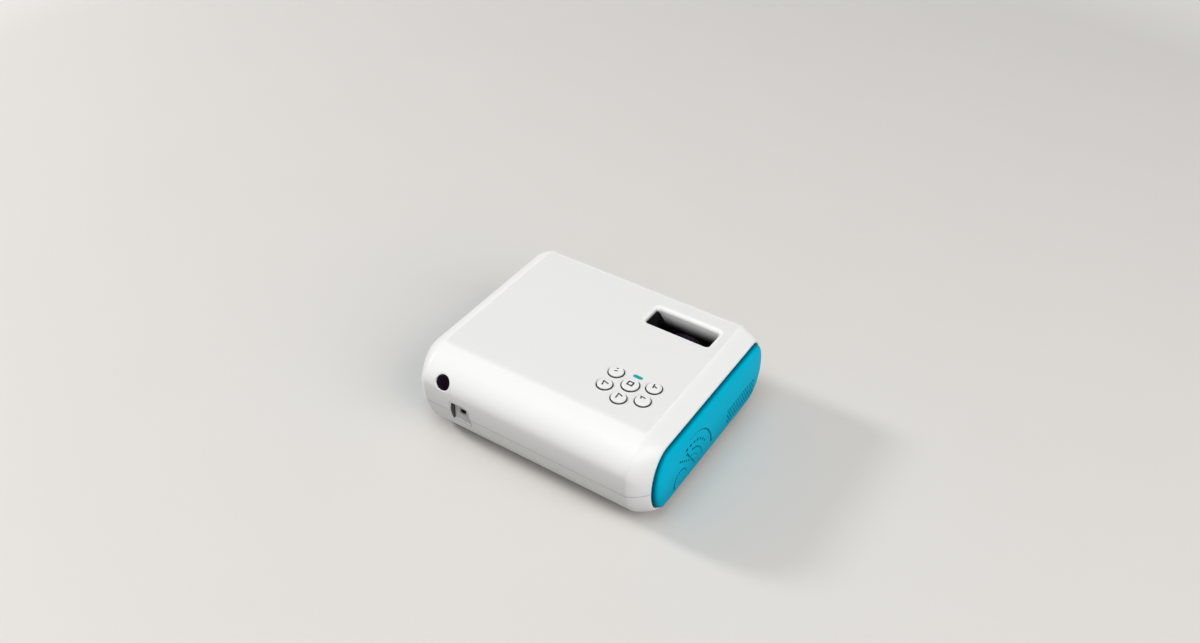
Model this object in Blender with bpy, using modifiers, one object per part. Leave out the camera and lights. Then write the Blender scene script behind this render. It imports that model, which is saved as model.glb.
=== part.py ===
"""Mini projector with a moulded two-part case, blue end covers and a folded optical engine.

The lens looks along -Y, the keys face +Z, and the origin is under the middle of the case on the
surface that the rubber feet stand on. All lengths are in metres.
"""
import math
from dataclasses import dataclass, fields

import bmesh
import bpy
from mathutils import Matrix, Vector

# Case outline, the two shells closed, without feet and keys
CASE_DEPTH = 0.1781
CASE_HEIGHT = 0.0698
RIM_HALF = 0.098
END_BAND = 0.0128
FRONT_WAIST = 0.0314
BACK_WAIST = 0.0473
FRONT_TOP_RUN = 0.0198
FRONT_LOW_RUN = 0.022
BACK_TOP_RUN = 0.032
BACK_LOW_RUN = 0.0251

# How the outline draws in from the flat stretch to the rim of each end
RIM_FRONT_STEP = 0.0037
RIM_BACK_STEP = 0.0121
RIM_TOP_STEP = 0.0087
RIM_LOW_STEP = 0.0073
RIM_FRONT_WAIST = 0.0322
RIM_BACK_WAIST = 0.0329
RIM_FRONT_TOP_RUN = 0.0153
RIM_FRONT_LOW_RUN = 0.0218
RIM_BACK_TOP_RUN = 0.0194
RIM_BACK_LOW_RUN = 0.016
END_CROWN_SHARE = 0.25
END_RING_SHARES = (0.5,)
ARC_STEPS = 7

# Walls, seams and running clearances
WALL = 0.0024
END_WALL = 0.003
GAP = 0.0003
SPLIT_HEIGHT = 0.0311
RIM_LIP = 0.0016
LEDGE_WIDTH = 0.0026
LEDGE_DEPTH = 0.004
LEDGE_THICK = 0.0025
OVERRUN = 0.002

# Blue end covers
COVER_GROOVE = 0.0008
COVER_THICK = 0.0018
COVER_PROUD = 0.0044
COVER_SKIRT_DROP = 0.0006
COVER_SHOULDER_INSET = 0.0006
COVER_SHOULDER_PROUD = 0.0015
COVER_BORDER_INSET = 0.0036
COVER_BORDER_PROUD = 0.0036
COVER_FACE_INSET = 0.0075
COVER_INNER_INSET = 0.0048

# Swirl of holes in front of the speaker: arcs round one centre, and one curl below it
SWIRL_Y = 0.03185
SWIRL_Z = 0.0165
SWIRL_SIDES = 6
CURL_Y = 0.0424
CURL_Z = 0.0205
CREST_RADIUS = 0.0345
CREST_ANGLES = (90.0, 8.0)
CREST_DOTS = 21
CREST_HOLE_FIRST = 0.0009
CREST_HOLE_LAST = 0.0021
BOLD_RADIUS = 0.0272
BOLD_ANGLES = (98.0, 32.0)
BOLD_DOTS = 7
BOLD_HOLE_FIRST = 0.0027
BOLD_HOLE_LAST = 0.0019
MIDDLE_RADIUS = 0.0212
MIDDLE_ANGLES = (76.0, 10.0)
MIDDLE_DOTS = 8
MIDDLE_HOLE_FIRST = 0.0021
MIDDLE_HOLE_LAST = 0.0013
FINE_RADIUS = 0.0157
FINE_ANGLES = (74.0, 12.0)
FINE_DOTS = 9
FINE_HOLE = 0.0010
CORE_RADIUS = 0.0103
CORE_ANGLES = (60.0, 14.0)
CORE_DOTS = 7
CORE_HOLE = 0.0009
CURL_RADIUS = 0.0084
CURL_ANGLES = (196.0, 12.0)
CURL_DOTS = 13
CURL_HOLE_FIRST = 0.0019
CURL_HOLE_LAST = 0.0011
TAIL_DOTS = 5
TAIL_HOLE_FIRST = 0.0023
TAIL_HOLE_LAST = 0.0012
TAIL_START_Y = 0.0349
TAIL_START_Z = 0.0387
TAIL_END_Y = 0.0272
TAIL_END_Z = 0.0283
BRIDGE_DOTS = 9
BRIDGE_HOLE_FIRST = 0.0020
BRIDGE_HOLE_LAST = 0.0012
BRIDGE_START_Y = 0.0443
BRIDGE_START_Z = 0.0390
BRIDGE_END_Y = 0.0200
BRIDGE_END_Z = 0.0222

# Block of vent holes in front of the intake filter
VENT_Y = -0.0480
VENT_Z = 0.0245
VENT_COLUMNS = 14
VENT_ROWS = 6
VENT_PITCH_Y = 0.0031
VENT_PITCH_Z = 0.0025
VENT_HOLE = 0.0015
VENT_SIDES = 4

# Exhaust slots of the hidden end cover
EXHAUST_SLOTS = 9
EXHAUST_PITCH = 0.0048
EXHAUST_WIDTH = 0.0024
EXHAUST_HEIGHT = 0.034
EXHAUST_DROP = 0.0005

# Focus window in the roof
LENS_END_INSET = 0.0485
LENS_RISE = 0.036
WINDOW_Y = -0.0479
WINDOW_LENGTH = 0.053
WINDOW_WIDTH = 0.0195
WINDOW_EDGE = 0.0035
WINDOW_EDGE_DROP = 0.003
EDGE_STEPS = 4
WINDOW_RADIUS = 0.0025
COLLAR_WALL = 0.002
COLLAR_CLEARANCE = 0.0013

# Keys on the roof
KEYPAD_LENS_STEP = 0.0018
KEYPAD_Y = 0.02875
KEY_SIDE_STEP = 0.0154
KEY_FRONT_STEP = 0.0062
KEY_BACK_STEP = 0.009
KEY_REAR_STEP = 0.0155
KEY_RADIUS = 0.0056
MAIN_KEY_RADIUS = 0.0063
KEY_PROUD = 0.0018
KEY_CROWN = 0.0004
KEY_EDGE = 0.0009
KEY_HOLE_GAP = 0.00035
KEY_FLANGE = 0.001
KEY_FLANGE_THICK = 0.001
KEY_STEM_RADIUS = 0.0022
KEY_STEM = 0.0012
KEY_TRAVEL = 0.0008
KEY_REST_GAP = 0.0009
DOME_RADIUS = 0.002
DOME_HEIGHT = 0.0011
MAT_THICK = 0.0006
MAT_MARGIN = 0.0028
BOARD_THICK = 0.0016
KEY_BOARD_MARGIN = 0.0032
PEG_RADIUS = 0.002

# Status light
LIGHT_Y_STEP = 0.0104
LIGHT_LENGTH = 0.007
LIGHT_WIDTH = 0.0025
LIGHT_ROUND_SHARE = 0.49
LIGHT_PROUD = 0.0001
LIGHT_FLANGE = 0.0008

# Infrared window
INFRARED_END_INSET = 0.0286
INFRARED_RISE = 0.055
INFRARED_RADIUS = 0.0057
INFRARED_TILT = 27.0
INFRARED_DEPTH = 0.0045
INFRARED_CROWN = 0.0009
INFRARED_FACE_SHARE = 0.88
INFRARED_BOARD = 0.0065
INFRARED_BOARD_THICK = 0.0012

# Power inlet
INLET_END_INSET = 0.0437
INLET_RISE = 0.0325
INLET_WIDTH = 0.0152
INLET_HEIGHT = 0.0176
INLET_RADIUS = 0.002
INLET_CUP_WALL = 0.0012
INLET_DEPTH = 0.0045
JACK_OPENING_WIDTH = 0.0056
JACK_OPENING_HEIGHT = 0.0048
JACK_WIDTH = 0.009
JACK_HEIGHT = 0.0078
JACK_DEPTH = 0.0115
JACK_PIN_RADIUS = 0.0006
JACK_BORE_DEPTH = 0.007

# Notch by which the lower shell is prised off
NOTCH_END_INSET = 0.022
NOTCH_RISE = 0.0135
NOTCH_LENGTH = 0.0045
NOTCH_WIDTH = 0.0018
NOTCH_DEPTH = 0.0012

# Lens, focus ring and front bezel
BARREL_RADIUS = 0.014
BARREL_FRONT = 0.080
BARREL_LENGTH = 0.050
BARREL_BORE = 0.011
BARREL_SEAT = 0.0127
BARREL_SEAT_DEPTH = 0.0100
FOCUS_TRAVEL = 0.006
FOCUS_TURN = 120.0
TUBE_GAP = 0.0003
TUBE_WALL = 0.0012
TUBE_FRONT = 0.072
TUBE_FLANGE_RADIUS = 0.0195
TUBE_FLANGE_THICK = 0.002
TUBE_SPIGOT = 0.005
SHOULDER_RADIUS = 0.017
SHOULDER_LENGTH = 0.002
RING_RADIUS = 0.0185
RING_GROOVE = 0.0006
RING_RIBS = 24
RING_LENGTH = 0.018
RING_BACK = 0.040
RING_TRACK_RADIUS = 0.017
RING_LIP = 0.0015
CLIP_RADIUS = 0.0174
CLIP_THICK = 0.0012
PIN_RADIUS = 0.0011
PIN_REACH = 0.0026
PIN_FRONT = 0.045
GLASS_RADIUS = 0.0123
GLASS_EDGE = 0.0035
FRONT_GLASS_BULGE = 0.0026
REAR_GLASS_BULGE = 0.0022
RETAINER_INNER = 0.0108
RETAINER_THICK = 0.0016
BEZEL_RADIUS = 0.022
BEZEL_MOUTH = 0.0198
BEZEL_THROAT = 0.0152
BEZEL_BACK = 0.073
BEZEL_THROAT_LENGTH = 0.003

# Black cradle round the focus ring, seen through the window
CRADLE_HALF = 0.0284
CRADLE_BACK = 0.0238
CRADLE_FRONT = 0.0668
CRADLE_WALL = 0.0016

# Optical engine
ENGINE_LENS_REACH = 0.0275
ENGINE_FRONT = -0.021
ENGINE_BACK = 0.032
ENGINE_LOW = 0.008
ENGINE_HIGH = 0.058
ENGINE_WALL = 0.0016
ENGINE_LID_THICK = 0.0018
MIRROR_Y = 0.005
MIRROR_WIDTH = 0.056
MIRROR_HEIGHT = 0.044
MIRROR_THICK = 0.002
RIDGED_LENS_THICK = 0.002
RIDGED_LENS_SHARES = (0.365, 0.672)
PANEL_SHARE = 0.4325
PANEL_THICK = 0.0028
HEAT_GLASS_SHARE = 0.5965
HEAT_GLASS_THICK = 0.0012
OPTIC_HEIGHT = 0.046
PANEL_VIEW_WIDTH = 0.040
PANEL_VIEW_HEIGHT = 0.030
HOLDER_SHARE = 0.766
HOLDER_THICK = 0.004
CONDENSER_RADIUS = 0.0175
CONDENSER_BULGE = 0.009
CONDENSER_EDGE = 0.003
LIGHT_OPENING = 0.034
LIGHT_BOARD_SIZE = 0.044
LIGHT_BOARD_THICK = 0.0016
EMITTER_SIZE = 0.012
EMITTER_THICK = 0.001

# Cooling
SINK_SIZE = 0.050
SINK_BASE = 0.004
SINK_LENGTH_SHARE = 0.33675
SINK_FINS = 11
SINK_FIN_THICK = 0.0012
FAN_END_INSET = 0.0265
FAN_SIZE = 0.050
FAN_DEPTH = 0.015
FAN_BORE = 0.0235
FAN_CORNER = 0.003
FAN_HUB = 0.0095
FAN_BLADES = 7
FAN_BLADE_REACH = 0.0225
FAN_BLADE_THICK = 0.0012
FAN_BLADE_TWIST = 38.0
FAN_BLADE_SHARES = (0.0, 0.5, 1.0)
FAN_BLADE_ROOT_SHARE = 0.8
FAN_BLADE_TIP_SHARE = 0.9
FAN_SHAFT = 0.0015
FAN_PLATE = 0.0025
FAN_STRUT = 0.003
FAN_BLADE_DEPTH = 0.009

# Main board and its sockets
MAIN_BOARD_END_INSET = 0.008
MAIN_BOARD_LENGTH = 0.102
MAIN_BOARD_FRONT = 0.0335
MAIN_BOARD_BACK_INSET = 0.01205
MAIN_BOARD_TOP = 0.0292
CHIP_SIZE = 0.014
CHIP_HEIGHT = 0.006
CHIP_END_INSET = 0.034
CHIP_Y = 0.056
SOCKET_LENGTH = 0.016
SOCKET_WALL = 0.0006
SOCKET_MOUTH = 0.009
PICTURE_SOCKET_Y = 0.0381
PICTURE_SOCKET_WIDTH = 0.0152
PICTURE_SOCKET_HEIGHT = 0.0062
DATA_SOCKET_Y = 0.0533
DATA_SOCKET_WIDTH = 0.0131
DATA_SOCKET_HEIGHT = 0.0068
SOUND_JACK_Y = 0.0641
SOUND_JACK_WIDTH = 0.006
SOUND_JACK_BORE = 0.0018
SOCKET_PORT_GAP = 0.0003

# Speaker and intake filter
SPEAKER_Y = 0.0240
SPEAKER_Z = 0.0367
SPEAKER_RADIUS = 0.0172
GASKET_INNER = 0.0150
GASKET_THICK = 0.001
BASKET_FLANGE = 0.0012
BASKET_DEPTH = 0.011
BASKET_WALL = 0.001
MAGNET_RADIUS = 0.011
MAGNET_DEPTH = 0.007
CONE_EDGE = 0.0142
CONE_THROAT = 0.006
CONE_DEPTH = 0.006
CONE_WALL = 0.0006
SADDLE_THICK = 0.0025
SADDLE_WIDTH = 0.030
FILTER_THICK = 0.003
FILTER_MARGIN = 0.0012

# Posts, screws, feet and inserts
POST_RADIUS = 0.0036
POST_SPLIT = 0.034
FRONT_POST_END_INSET = 0.016
FRONT_POST_INSET = 0.02305
BACK_POST_END_INSET = 0.034
BACK_POST_INSET = 0.03105
SCREW_RADIUS = 0.0014
SCREW_LENGTH = 0.028
SCREW_HEAD_RADIUS = 0.0027
SCREW_HEAD_THICK = 0.0018
SCREW_HEAD_DEPTH = 0.005
SCREW_SLOT = 0.0008
STANDOFF_RADIUS = 0.003
FOOT_STAND = 0.0025
FOOT_RADIUS = 0.006
FOOT_END_INSET = 0.028
FRONT_FOOT_INSET = 0.03005
BACK_FOOT_INSET = 0.04305
FOOT_SINK = 0.0006
FOOT_DISH = 0.0006
INSERT_X = 0.010
INSERT_Y = -0.0395
INSERT_BORE = 0.0032
INSERT_RADIUS = 0.0046
INSERT_DEPTH = 0.009
BOSS_WALL = 0.0018
TILT_X = 0.010
TILT_Y = -0.0575
TILT_STEM_RADIUS = 0.0028
TILT_STEM = 0.022
TILT_PAD_RADIUS = 0.0075
TILT_PAD_THICK = 0.0026
TILT_PAD_REST = 0.0004
TILT_PAD_SINK = 0.0009
TILT_TRAVEL = 0.012
TILT_BOSS_HEIGHT = 0.020
RUN_GAP = 0.0003

ROUND_SIDES = 28
LENS_SIDES = 20
HIDDEN_SIDES = 16
SMALL_SIDES = 12
TINY_SIDES = 8


# Derived places that more than one sub-assembly uses
FLAT_HALF = RIM_HALF - END_BAND
FLOOR_OUT = FOOT_STAND
FLOOR_IN = FLOOR_OUT + WALL
ROOF_OUT = FOOT_STAND + CASE_HEIGHT
ROOF_IN = ROOF_OUT - WALL
SPLIT_Z = FOOT_STAND + SPLIT_HEIGHT
LENS_Z = FOOT_STAND + LENS_RISE
BACK_Y = CASE_DEPTH / 2
FRONT_Y = -CASE_DEPTH / 2
LENS_X = LENS_END_INSET - RIM_HALF
KEYPAD_X = LENS_X - KEYPAD_LENS_STEP
INFRARED_X = RIM_HALF - INFRARED_END_INSET
INLET_X = RIM_HALF - INLET_END_INSET
NOTCH_X = RIM_HALF - NOTCH_END_INSET
FRONT_POST_X = RIM_HALF - FRONT_POST_END_INSET
FRONT_POST_Y = FRONT_Y + FRONT_POST_INSET
BACK_POST_X = RIM_HALF - BACK_POST_END_INSET
BACK_POST_Y = BACK_Y - BACK_POST_INSET
FOOT_X = RIM_HALF - FOOT_END_INSET
FRONT_FOOT_Y = FRONT_Y + FRONT_FOOT_INSET
BACK_FOOT_Y = BACK_Y - BACK_FOOT_INSET
LEDGE_OUT_X = RIM_HALF - LEDGE_DEPTH
LEDGE_IN_X = LEDGE_OUT_X - LEDGE_THICK
COVER_FACE_X = RIM_HALF + COVER_PROUD
COVER_INNER_X = COVER_FACE_X - COVER_THICK
ENGINE_LID_TOP = ENGINE_HIGH + GAP + ENGINE_LID_THICK
TUBE_BORE = BARREL_RADIUS + TUBE_GAP
TUBE_RADIUS = TUBE_BORE + TUBE_WALL
RING_FRONT = RING_BACK + RING_LENGTH
KEY_FLANGE_LOW = ROOF_IN - GAP - KEY_FLANGE_THICK
KEY_FOOT = KEY_FLANGE_LOW - KEY_STEM
DOME_TOP = KEY_FOOT - KEY_REST_GAP
KEY_BOARD_TOP = DOME_TOP - DOME_HEIGHT - MAT_THICK - GAP
JACK_FACE_Y = BACK_Y - INLET_DEPTH - INLET_CUP_WALL - GAP
SINK_LENGTH = RIM_HALF * SINK_LENGTH_SHARE
FAN_X = RIM_HALF - FAN_END_INSET
SINK_X = FAN_X - GAP - SINK_LENGTH
ENGINE_RIGHT = SINK_X - GAP - LIGHT_BOARD_THICK - GAP
ENGINE_LEFT = LENS_X - ENGINE_LENS_REACH
CRADLE_LEFT = LENS_X - CRADLE_HALF
CRADLE_RIGHT = LENS_X + CRADLE_HALF
FAN_Y = MIRROR_Y
FAN_LOW = LENS_Z - FAN_SIZE / 2
MAIN_BOARD_LOW = MAIN_BOARD_TOP - BOARD_THICK
MAIN_BOARD_RIGHT = RIM_HALF - MAIN_BOARD_END_INSET
MAIN_BOARD_LEFT = MAIN_BOARD_RIGHT - MAIN_BOARD_LENGTH
MAIN_BOARD_BACK = BACK_Y - MAIN_BOARD_BACK_INSET
CHIP_X = MAIN_BOARD_LEFT + CHIP_END_INSET
SOCKET_X = COVER_INNER_X - GAP
GASKET_X = COVER_INNER_X - GAP


@dataclass(frozen=True)
class Outline:
    """Closed outline in a plane across the case, with an elliptic arc at each corner."""

    front: float
    back: float
    low: float
    high: float
    front_waist: float
    back_waist: float
    front_top_run: float
    front_low_run: float
    back_top_run: float
    back_low_run: float

    def inset(self, depth):
        """Outline drawn in by a depth on every side."""
        return Outline(self.front + depth, self.back - depth, self.low + depth, self.high - depth,
                       self.front_waist, self.back_waist,
                       self.front_top_run - depth, self.front_low_run - depth,
                       self.back_top_run - depth, self.back_low_run - depth)

    def toward(self, other, share):
        """Outline part of the way to another one."""
        mixed = [getattr(self, item.name) * (1 - share) + getattr(other, item.name) * share
                 for item in fields(self)]
        return Outline(*mixed)

    def ring(self, x):
        """Points of the outline in the plane at x, from the back waist over the roof."""
        corners = ((self.back, -self.back_top_run, self.back_waist, self.high, False),
                   (self.front, self.front_top_run, self.front_waist, self.high, True),
                   (self.front, self.front_low_run, self.front_waist, self.low, False),
                   (self.back, -self.back_low_run, self.back_waist, self.low, True))
        points = []
        for number, (edge, run, waist, level, falling) in enumerate(corners):
            for step in range(ARC_STEPS + 1):
                share = (ARC_STEPS - step if falling else step) / ARC_STEPS
                if number == 2 and step == 0 or number == 3 and step == ARC_STEPS:
                    continue
                angle = share * math.pi / 2
                y = edge + run * (1 - math.cos(angle))
                z = waist + (level - waist) * math.sin(angle)
                points.append((x, y, z))
        return points


MIDDLE = Outline(FRONT_Y, BACK_Y, FLOOR_OUT, ROOF_OUT,
                 FOOT_STAND + FRONT_WAIST, FOOT_STAND + BACK_WAIST,
                 FRONT_TOP_RUN, FRONT_LOW_RUN, BACK_TOP_RUN, BACK_LOW_RUN)
RIM = Outline(FRONT_Y + RIM_FRONT_STEP, BACK_Y - RIM_BACK_STEP,
              FLOOR_OUT + RIM_LOW_STEP, ROOF_OUT - RIM_TOP_STEP,
              FOOT_STAND + RIM_FRONT_WAIST, FOOT_STAND + RIM_BACK_WAIST,
              RIM_FRONT_TOP_RUN, RIM_FRONT_LOW_RUN, RIM_BACK_TOP_RUN, RIM_BACK_LOW_RUN)
RECESS = RIM.inset(RIM_LIP)
LEDGE = RECESS.inset(LEDGE_WIDTH)
COVER = RECESS.inset(COVER_GROOVE)


def case_outline(x):
    """Outer outline of the closed case at x."""
    if abs(x) <= FLAT_HALF:
        return MIDDLE
    share = (abs(x) - FLAT_HALF) / (RIM_HALF - FLAT_HALF)
    return MIDDLE.toward(RIM, share * (1 - END_CROWN_SHARE) + share * share * END_CROWN_SHARE)


# Scene, collections and materials
for old in list(bpy.data.objects):
    bpy.data.objects.remove(old, do_unlink=True)

PARTS = bpy.data.collections.new("mini_projector")
CUTTERS = bpy.data.collections.new("cutters")
bpy.context.scene.collection.children.link(PARTS)
bpy.context.scene.collection.children.link(CUTTERS)


def along_light(share):
    """Place along X of an optic, as a share of the way from the lens axis to the engine's lit end."""
    return LENS_X + (ENGINE_RIGHT - LENS_X) * share


def material(name, colour, roughness, metallic=0.0):
    """Material with one plain Principled surface."""
    made = bpy.data.materials.new(name)
    made.use_nodes = True
    surface = made.node_tree.nodes["Principled BSDF"]
    surface.inputs["Base Color"].default_value = (*colour, 1.0)
    surface.inputs["Roughness"].default_value = roughness
    surface.inputs["Metallic"].default_value = metallic
    return made


WHITE = material("white_shell", (0.86, 0.86, 0.84), 0.38)
BLUE = material("blue_cover", (0.0, 0.36, 0.52), 0.35)
KEY_WHITE = material("white_keys", (0.84, 0.84, 0.83), 0.32)
TEAL = material("status_light", (0.0, 0.46, 0.48), 0.3)
DARK_GLASS = material("infrared_window", (0.012, 0.006, 0.016), 0.08)
BLACK = material("black_plastic", (0.014, 0.014, 0.016), 0.45)
RUBBER = material("black_rubber", (0.02, 0.02, 0.02), 0.8)
GLASS = material("optical_glass", (0.75, 0.8, 0.86), 0.03)
MIRROR = material("silvered_mirror", (0.9, 0.9, 0.92), 0.03, 1.0)
ALUMINIUM = material("heat_sink_aluminium", (0.72, 0.73, 0.75), 0.35, 1.0)
STEEL = material("zinc_steel", (0.6, 0.6, 0.62), 0.3, 1.0)
BRASS = material("brass_insert", (0.72, 0.53, 0.24), 0.3, 1.0)
BOARD_GREEN = material("circuit_board", (0.02, 0.16, 0.06), 0.5)
SILICONE = material("grey_silicone", (0.45, 0.46, 0.47), 0.7)
FOAM = material("grey_foam", (0.1, 0.1, 0.11), 0.95)
PAPER_CONE = material("speaker_cone", (0.05, 0.05, 0.05), 0.85)

TURN = {"X": (0, math.pi / 2, 0), "Y": (-math.pi / 2, 0, 0), "Z": (0, 0, 0)}


def add(name, mesh_builder, finish=None):
    """Object from a bmesh, among the parts with a finish or among the cutters without one."""
    mesh = bpy.data.meshes.new(name)
    bmesh.ops.recalc_face_normals(mesh_builder, faces=mesh_builder.faces)
    mesh_builder.to_mesh(mesh)
    mesh_builder.free()
    made = bpy.data.objects.new(name, mesh)
    return sort(made, finish)


def sort(made, finish):
    """Put an object in its collection, with its finish or as a hidden cutter."""
    if finish is None:
        CUTTERS.objects.link(made)
        made.hide_render = True
        made.display_type = "WIRE"
    else:
        PARTS.objects.link(made)
        made.data.materials.append(finish)
    return made


def smooth(made, angle=35.0):
    """Shade a round piece smooth, with its real edges left sharp."""
    made.data.shade_smooth()
    made.data.set_sharp_from_angle(angle=math.radians(angle))
    return made


def loft(name, rings, finish=None):
    """Closed skin through rings of equally many points, capped at both ends."""
    builder = bmesh.new()
    rows = [[builder.verts.new(point) for point in ring] for ring in rings]
    for row, following in zip(rows, rows[1:]):
        count = len(row)
        for index in range(count):
            after = (index + 1) % count
            builder.faces.new((row[index], row[after], following[after], following[index]))
    builder.faces.new(rows[0])
    builder.faces.new(rows[-1])
    return add(name, builder, finish)


def block(name, low, high, finish=None):
    """Box between two corners, with its origin at its middle."""
    centre = (Vector(low) + Vector(high)) / 2
    size = Vector(high) - Vector(low)
    builder = bmesh.new()
    bmesh.ops.create_cube(builder, size=1.0)
    bmesh.ops.scale(builder, vec=size, verts=builder.verts)
    made = add(name, builder, finish)
    made.location = centre
    return made


def rod(name, base, axis, radius, length, finish=None, sides=SMALL_SIDES):
    """Cylinder from a base point along an axis letter."""
    builder = bmesh.new()
    bmesh.ops.create_cone(builder, cap_ends=True, segments=sides, radius1=radius, radius2=radius,
                          depth=length)
    bmesh.ops.translate(builder, vec=(0, 0, length / 2), verts=builder.verts)
    made = add(name, builder, finish)
    made.location = base
    made.rotation_euler = TURN[axis]
    return made


def prism(name, outline, base, axis, length, finish=None):
    """Flat outline drawn out along an axis letter from a base point."""
    builder = bmesh.new()
    face = builder.faces.new([builder.verts.new((u, v, 0)) for u, v in outline])
    drawn = bmesh.ops.extrude_face_region(builder, geom=[face])
    moved = [item for item in drawn["geom"] if isinstance(item, bmesh.types.BMVert)]
    bmesh.ops.translate(builder, vec=(0, 0, length), verts=moved)
    made = add(name, builder, finish)
    made.location = base
    made.rotation_euler = TURN[axis]
    return made


def turned(name, profile, base, axis, finish=None, sides=ROUND_SIDES, closed=False):
    """Turned piece: (radius, height) points run down the outer side, about an axis letter."""
    mesh = bpy.data.meshes.new(name)
    count = len(profile)
    edges = [(index, index + 1) for index in range(count - 1)]
    if closed:
        edges.append((count - 1, 0))
    mesh.from_pydata([(radius, 0, height) for radius, height in profile], edges, [])
    made = bpy.data.objects.new(name, mesh)
    sort(made, finish)
    made.location = base
    made.rotation_euler = TURN[axis]
    screw = made.modifiers.new("turn", "SCREW")
    screw.axis = "Z"
    screw.steps = sides
    screw.render_steps = sides
    screw.use_merge_vertices = True
    screw.merge_threshold = OVERRUN / 1000
    screw.use_smooth_shade = True
    return made


def boolean(target, tools, operation):
    """Add one boolean for each tool."""
    for tool in tools:
        step = target.modifiers.new(tool.name, "BOOLEAN")
        step.operation = operation
        step.solver = "EXACT"
        step.object = tool


def cut(target, *tools):
    """Take each tool away from the target."""
    boolean(target, tools, "DIFFERENCE")


def fuse(target, *tools):
    """Join each tool to the target."""
    boolean(target, tools, "UNION")


def keep_inside(target, *tools):
    """Keep what the target shares with each tool."""
    boolean(target, tools, "INTERSECT")


def rounded_rectangle(width, height, radius, steps=3):
    """Corner-rounded rectangle about the origin."""
    points = []
    for number, (sign_u, sign_v) in enumerate(((1, 1), (-1, 1), (-1, -1), (1, -1))):
        for step in range(steps + 1):
            angle = (number + step / steps) * math.pi / 2
            points.append((sign_u * (width / 2 - radius) + radius * math.cos(angle),
                           sign_v * (height / 2 - radius) + radius * math.sin(angle)))
    return points


def many_prisms(name, holes, base_x, length):
    """One cutter of separate regular prisms along X, from (y, z, radius, sides) holes."""
    builder = bmesh.new()
    for y, z, radius, sides in holes:
        matrix = Matrix.Translation((base_x + length / 2, y, z)) @ Matrix.Rotation(math.pi / 2, 4, "Y")
        bmesh.ops.create_cone(builder, cap_ends=True, segments=sides, radius1=radius,
                              radius2=radius, depth=length, matrix=matrix)
    return add(name, builder)


def in_steps(first, last, count):
    """Evenly stepped values from first to last."""
    return [first + (last - first) * number / (count - 1) for number in range(count)]


def arc_of_holes(centre, radius, angles, count, sizes):
    """Graded round holes along an arc: (y, z, radius, sides) each."""
    places = in_steps(angles[0], angles[1], count)
    return [(centre[0] - radius * math.cos(math.radians(angle)),
             centre[1] + radius * math.sin(math.radians(angle)), size / 2, hole_sides(size))
            for angle, size in zip(places, in_steps(sizes[0], sizes[1], count))]


def line_of_holes(start, end, count, sizes):
    """Graded round holes along a line: (y, z, radius, sides) each."""
    places = zip(in_steps(start[0], end[0], count), in_steps(start[1], end[1], count))
    return [(y, z, size / 2, hole_sides(size))
            for (y, z), size in zip(places, in_steps(sizes[0], sizes[1], count))]


def hole_sides(size):
    """Sides of a hole: fewer for the finest ones."""
    return SWIRL_SIDES if size > VENT_HOLE else VENT_SIDES


def swirl_holes():
    """The swirl of graded holes in front of the speaker."""
    centre = (SWIRL_Y, SWIRL_Z)
    holes = arc_of_holes(centre, CREST_RADIUS, CREST_ANGLES, CREST_DOTS,
                         (CREST_HOLE_FIRST, CREST_HOLE_LAST))
    holes += arc_of_holes(centre, BOLD_RADIUS, BOLD_ANGLES, BOLD_DOTS,
                          (BOLD_HOLE_FIRST, BOLD_HOLE_LAST))
    holes += arc_of_holes(centre, MIDDLE_RADIUS, MIDDLE_ANGLES, MIDDLE_DOTS,
                          (MIDDLE_HOLE_FIRST, MIDDLE_HOLE_LAST))
    holes += arc_of_holes(centre, FINE_RADIUS, FINE_ANGLES, FINE_DOTS, (FINE_HOLE, FINE_HOLE))
    holes += arc_of_holes(centre, CORE_RADIUS, CORE_ANGLES, CORE_DOTS, (CORE_HOLE, CORE_HOLE))
    holes += arc_of_holes((CURL_Y, CURL_Z), CURL_RADIUS, CURL_ANGLES, CURL_DOTS,
                          (CURL_HOLE_FIRST, CURL_HOLE_LAST))
    holes += line_of_holes((TAIL_START_Y, TAIL_START_Z), (TAIL_END_Y, TAIL_END_Z), TAIL_DOTS,
                           (TAIL_HOLE_FIRST, TAIL_HOLE_LAST))
    holes += line_of_holes((BRIDGE_START_Y, BRIDGE_START_Z), (BRIDGE_END_Y, BRIDGE_END_Z),
                           BRIDGE_DOTS, (BRIDGE_HOLE_FIRST, BRIDGE_HOLE_LAST))
    return holes


def case_tools():
    """Solids that both shells share: the closed case, its hollow and the holes on the split."""
    stations = [RIM_HALF] + [FLAT_HALF + (RIM_HALF - FLAT_HALF) * share
                             for share in reversed(END_RING_SHARES)] + [FLAT_HALF]
    rings = [case_outline(x).ring(-x) for x in stations]
    rings += [case_outline(x).ring(x) for x in reversed(stations)]
    solid = loft("case_solid", rings)

    beyond = RIM_HALF + OVERRUN
    ending = [(beyond, RECESS), (LEDGE_OUT_X, RECESS), (LEDGE_OUT_X, LEDGE), (LEDGE_IN_X, LEDGE),
              (LEDGE_IN_X, case_outline(LEDGE_IN_X).inset(END_WALL)), (FLAT_HALF, MIDDLE.inset(WALL))]
    rings = [outline.ring(-x) for x, outline in ending]
    rings += [outline.ring(x) for x, outline in reversed(ending)]
    hollow = loft("case_hollow", rings)

    bezel_hole = rod("bezel_hole", (LENS_X, FRONT_Y - OVERRUN, LENS_Z), "Y", BEZEL_RADIUS + GAP,
                     OVERRUN + FRONT_TOP_RUN, sides=ROUND_SIDES)
    cup = 2 * (INLET_CUP_WALL + GAP)
    outline = rounded_rectangle(INLET_WIDTH + cup, INLET_HEIGHT + cup,
                                INLET_RADIUS + INLET_CUP_WALL + GAP)
    inlet_hole = prism("inlet_hole", outline, (INLET_X, BACK_Y - INLET_DEPTH * 2, inlet_z()), "Y",
                       INLET_DEPTH * 2 + OVERRUN)
    return solid, hollow, bezel_hole, inlet_hole


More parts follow.
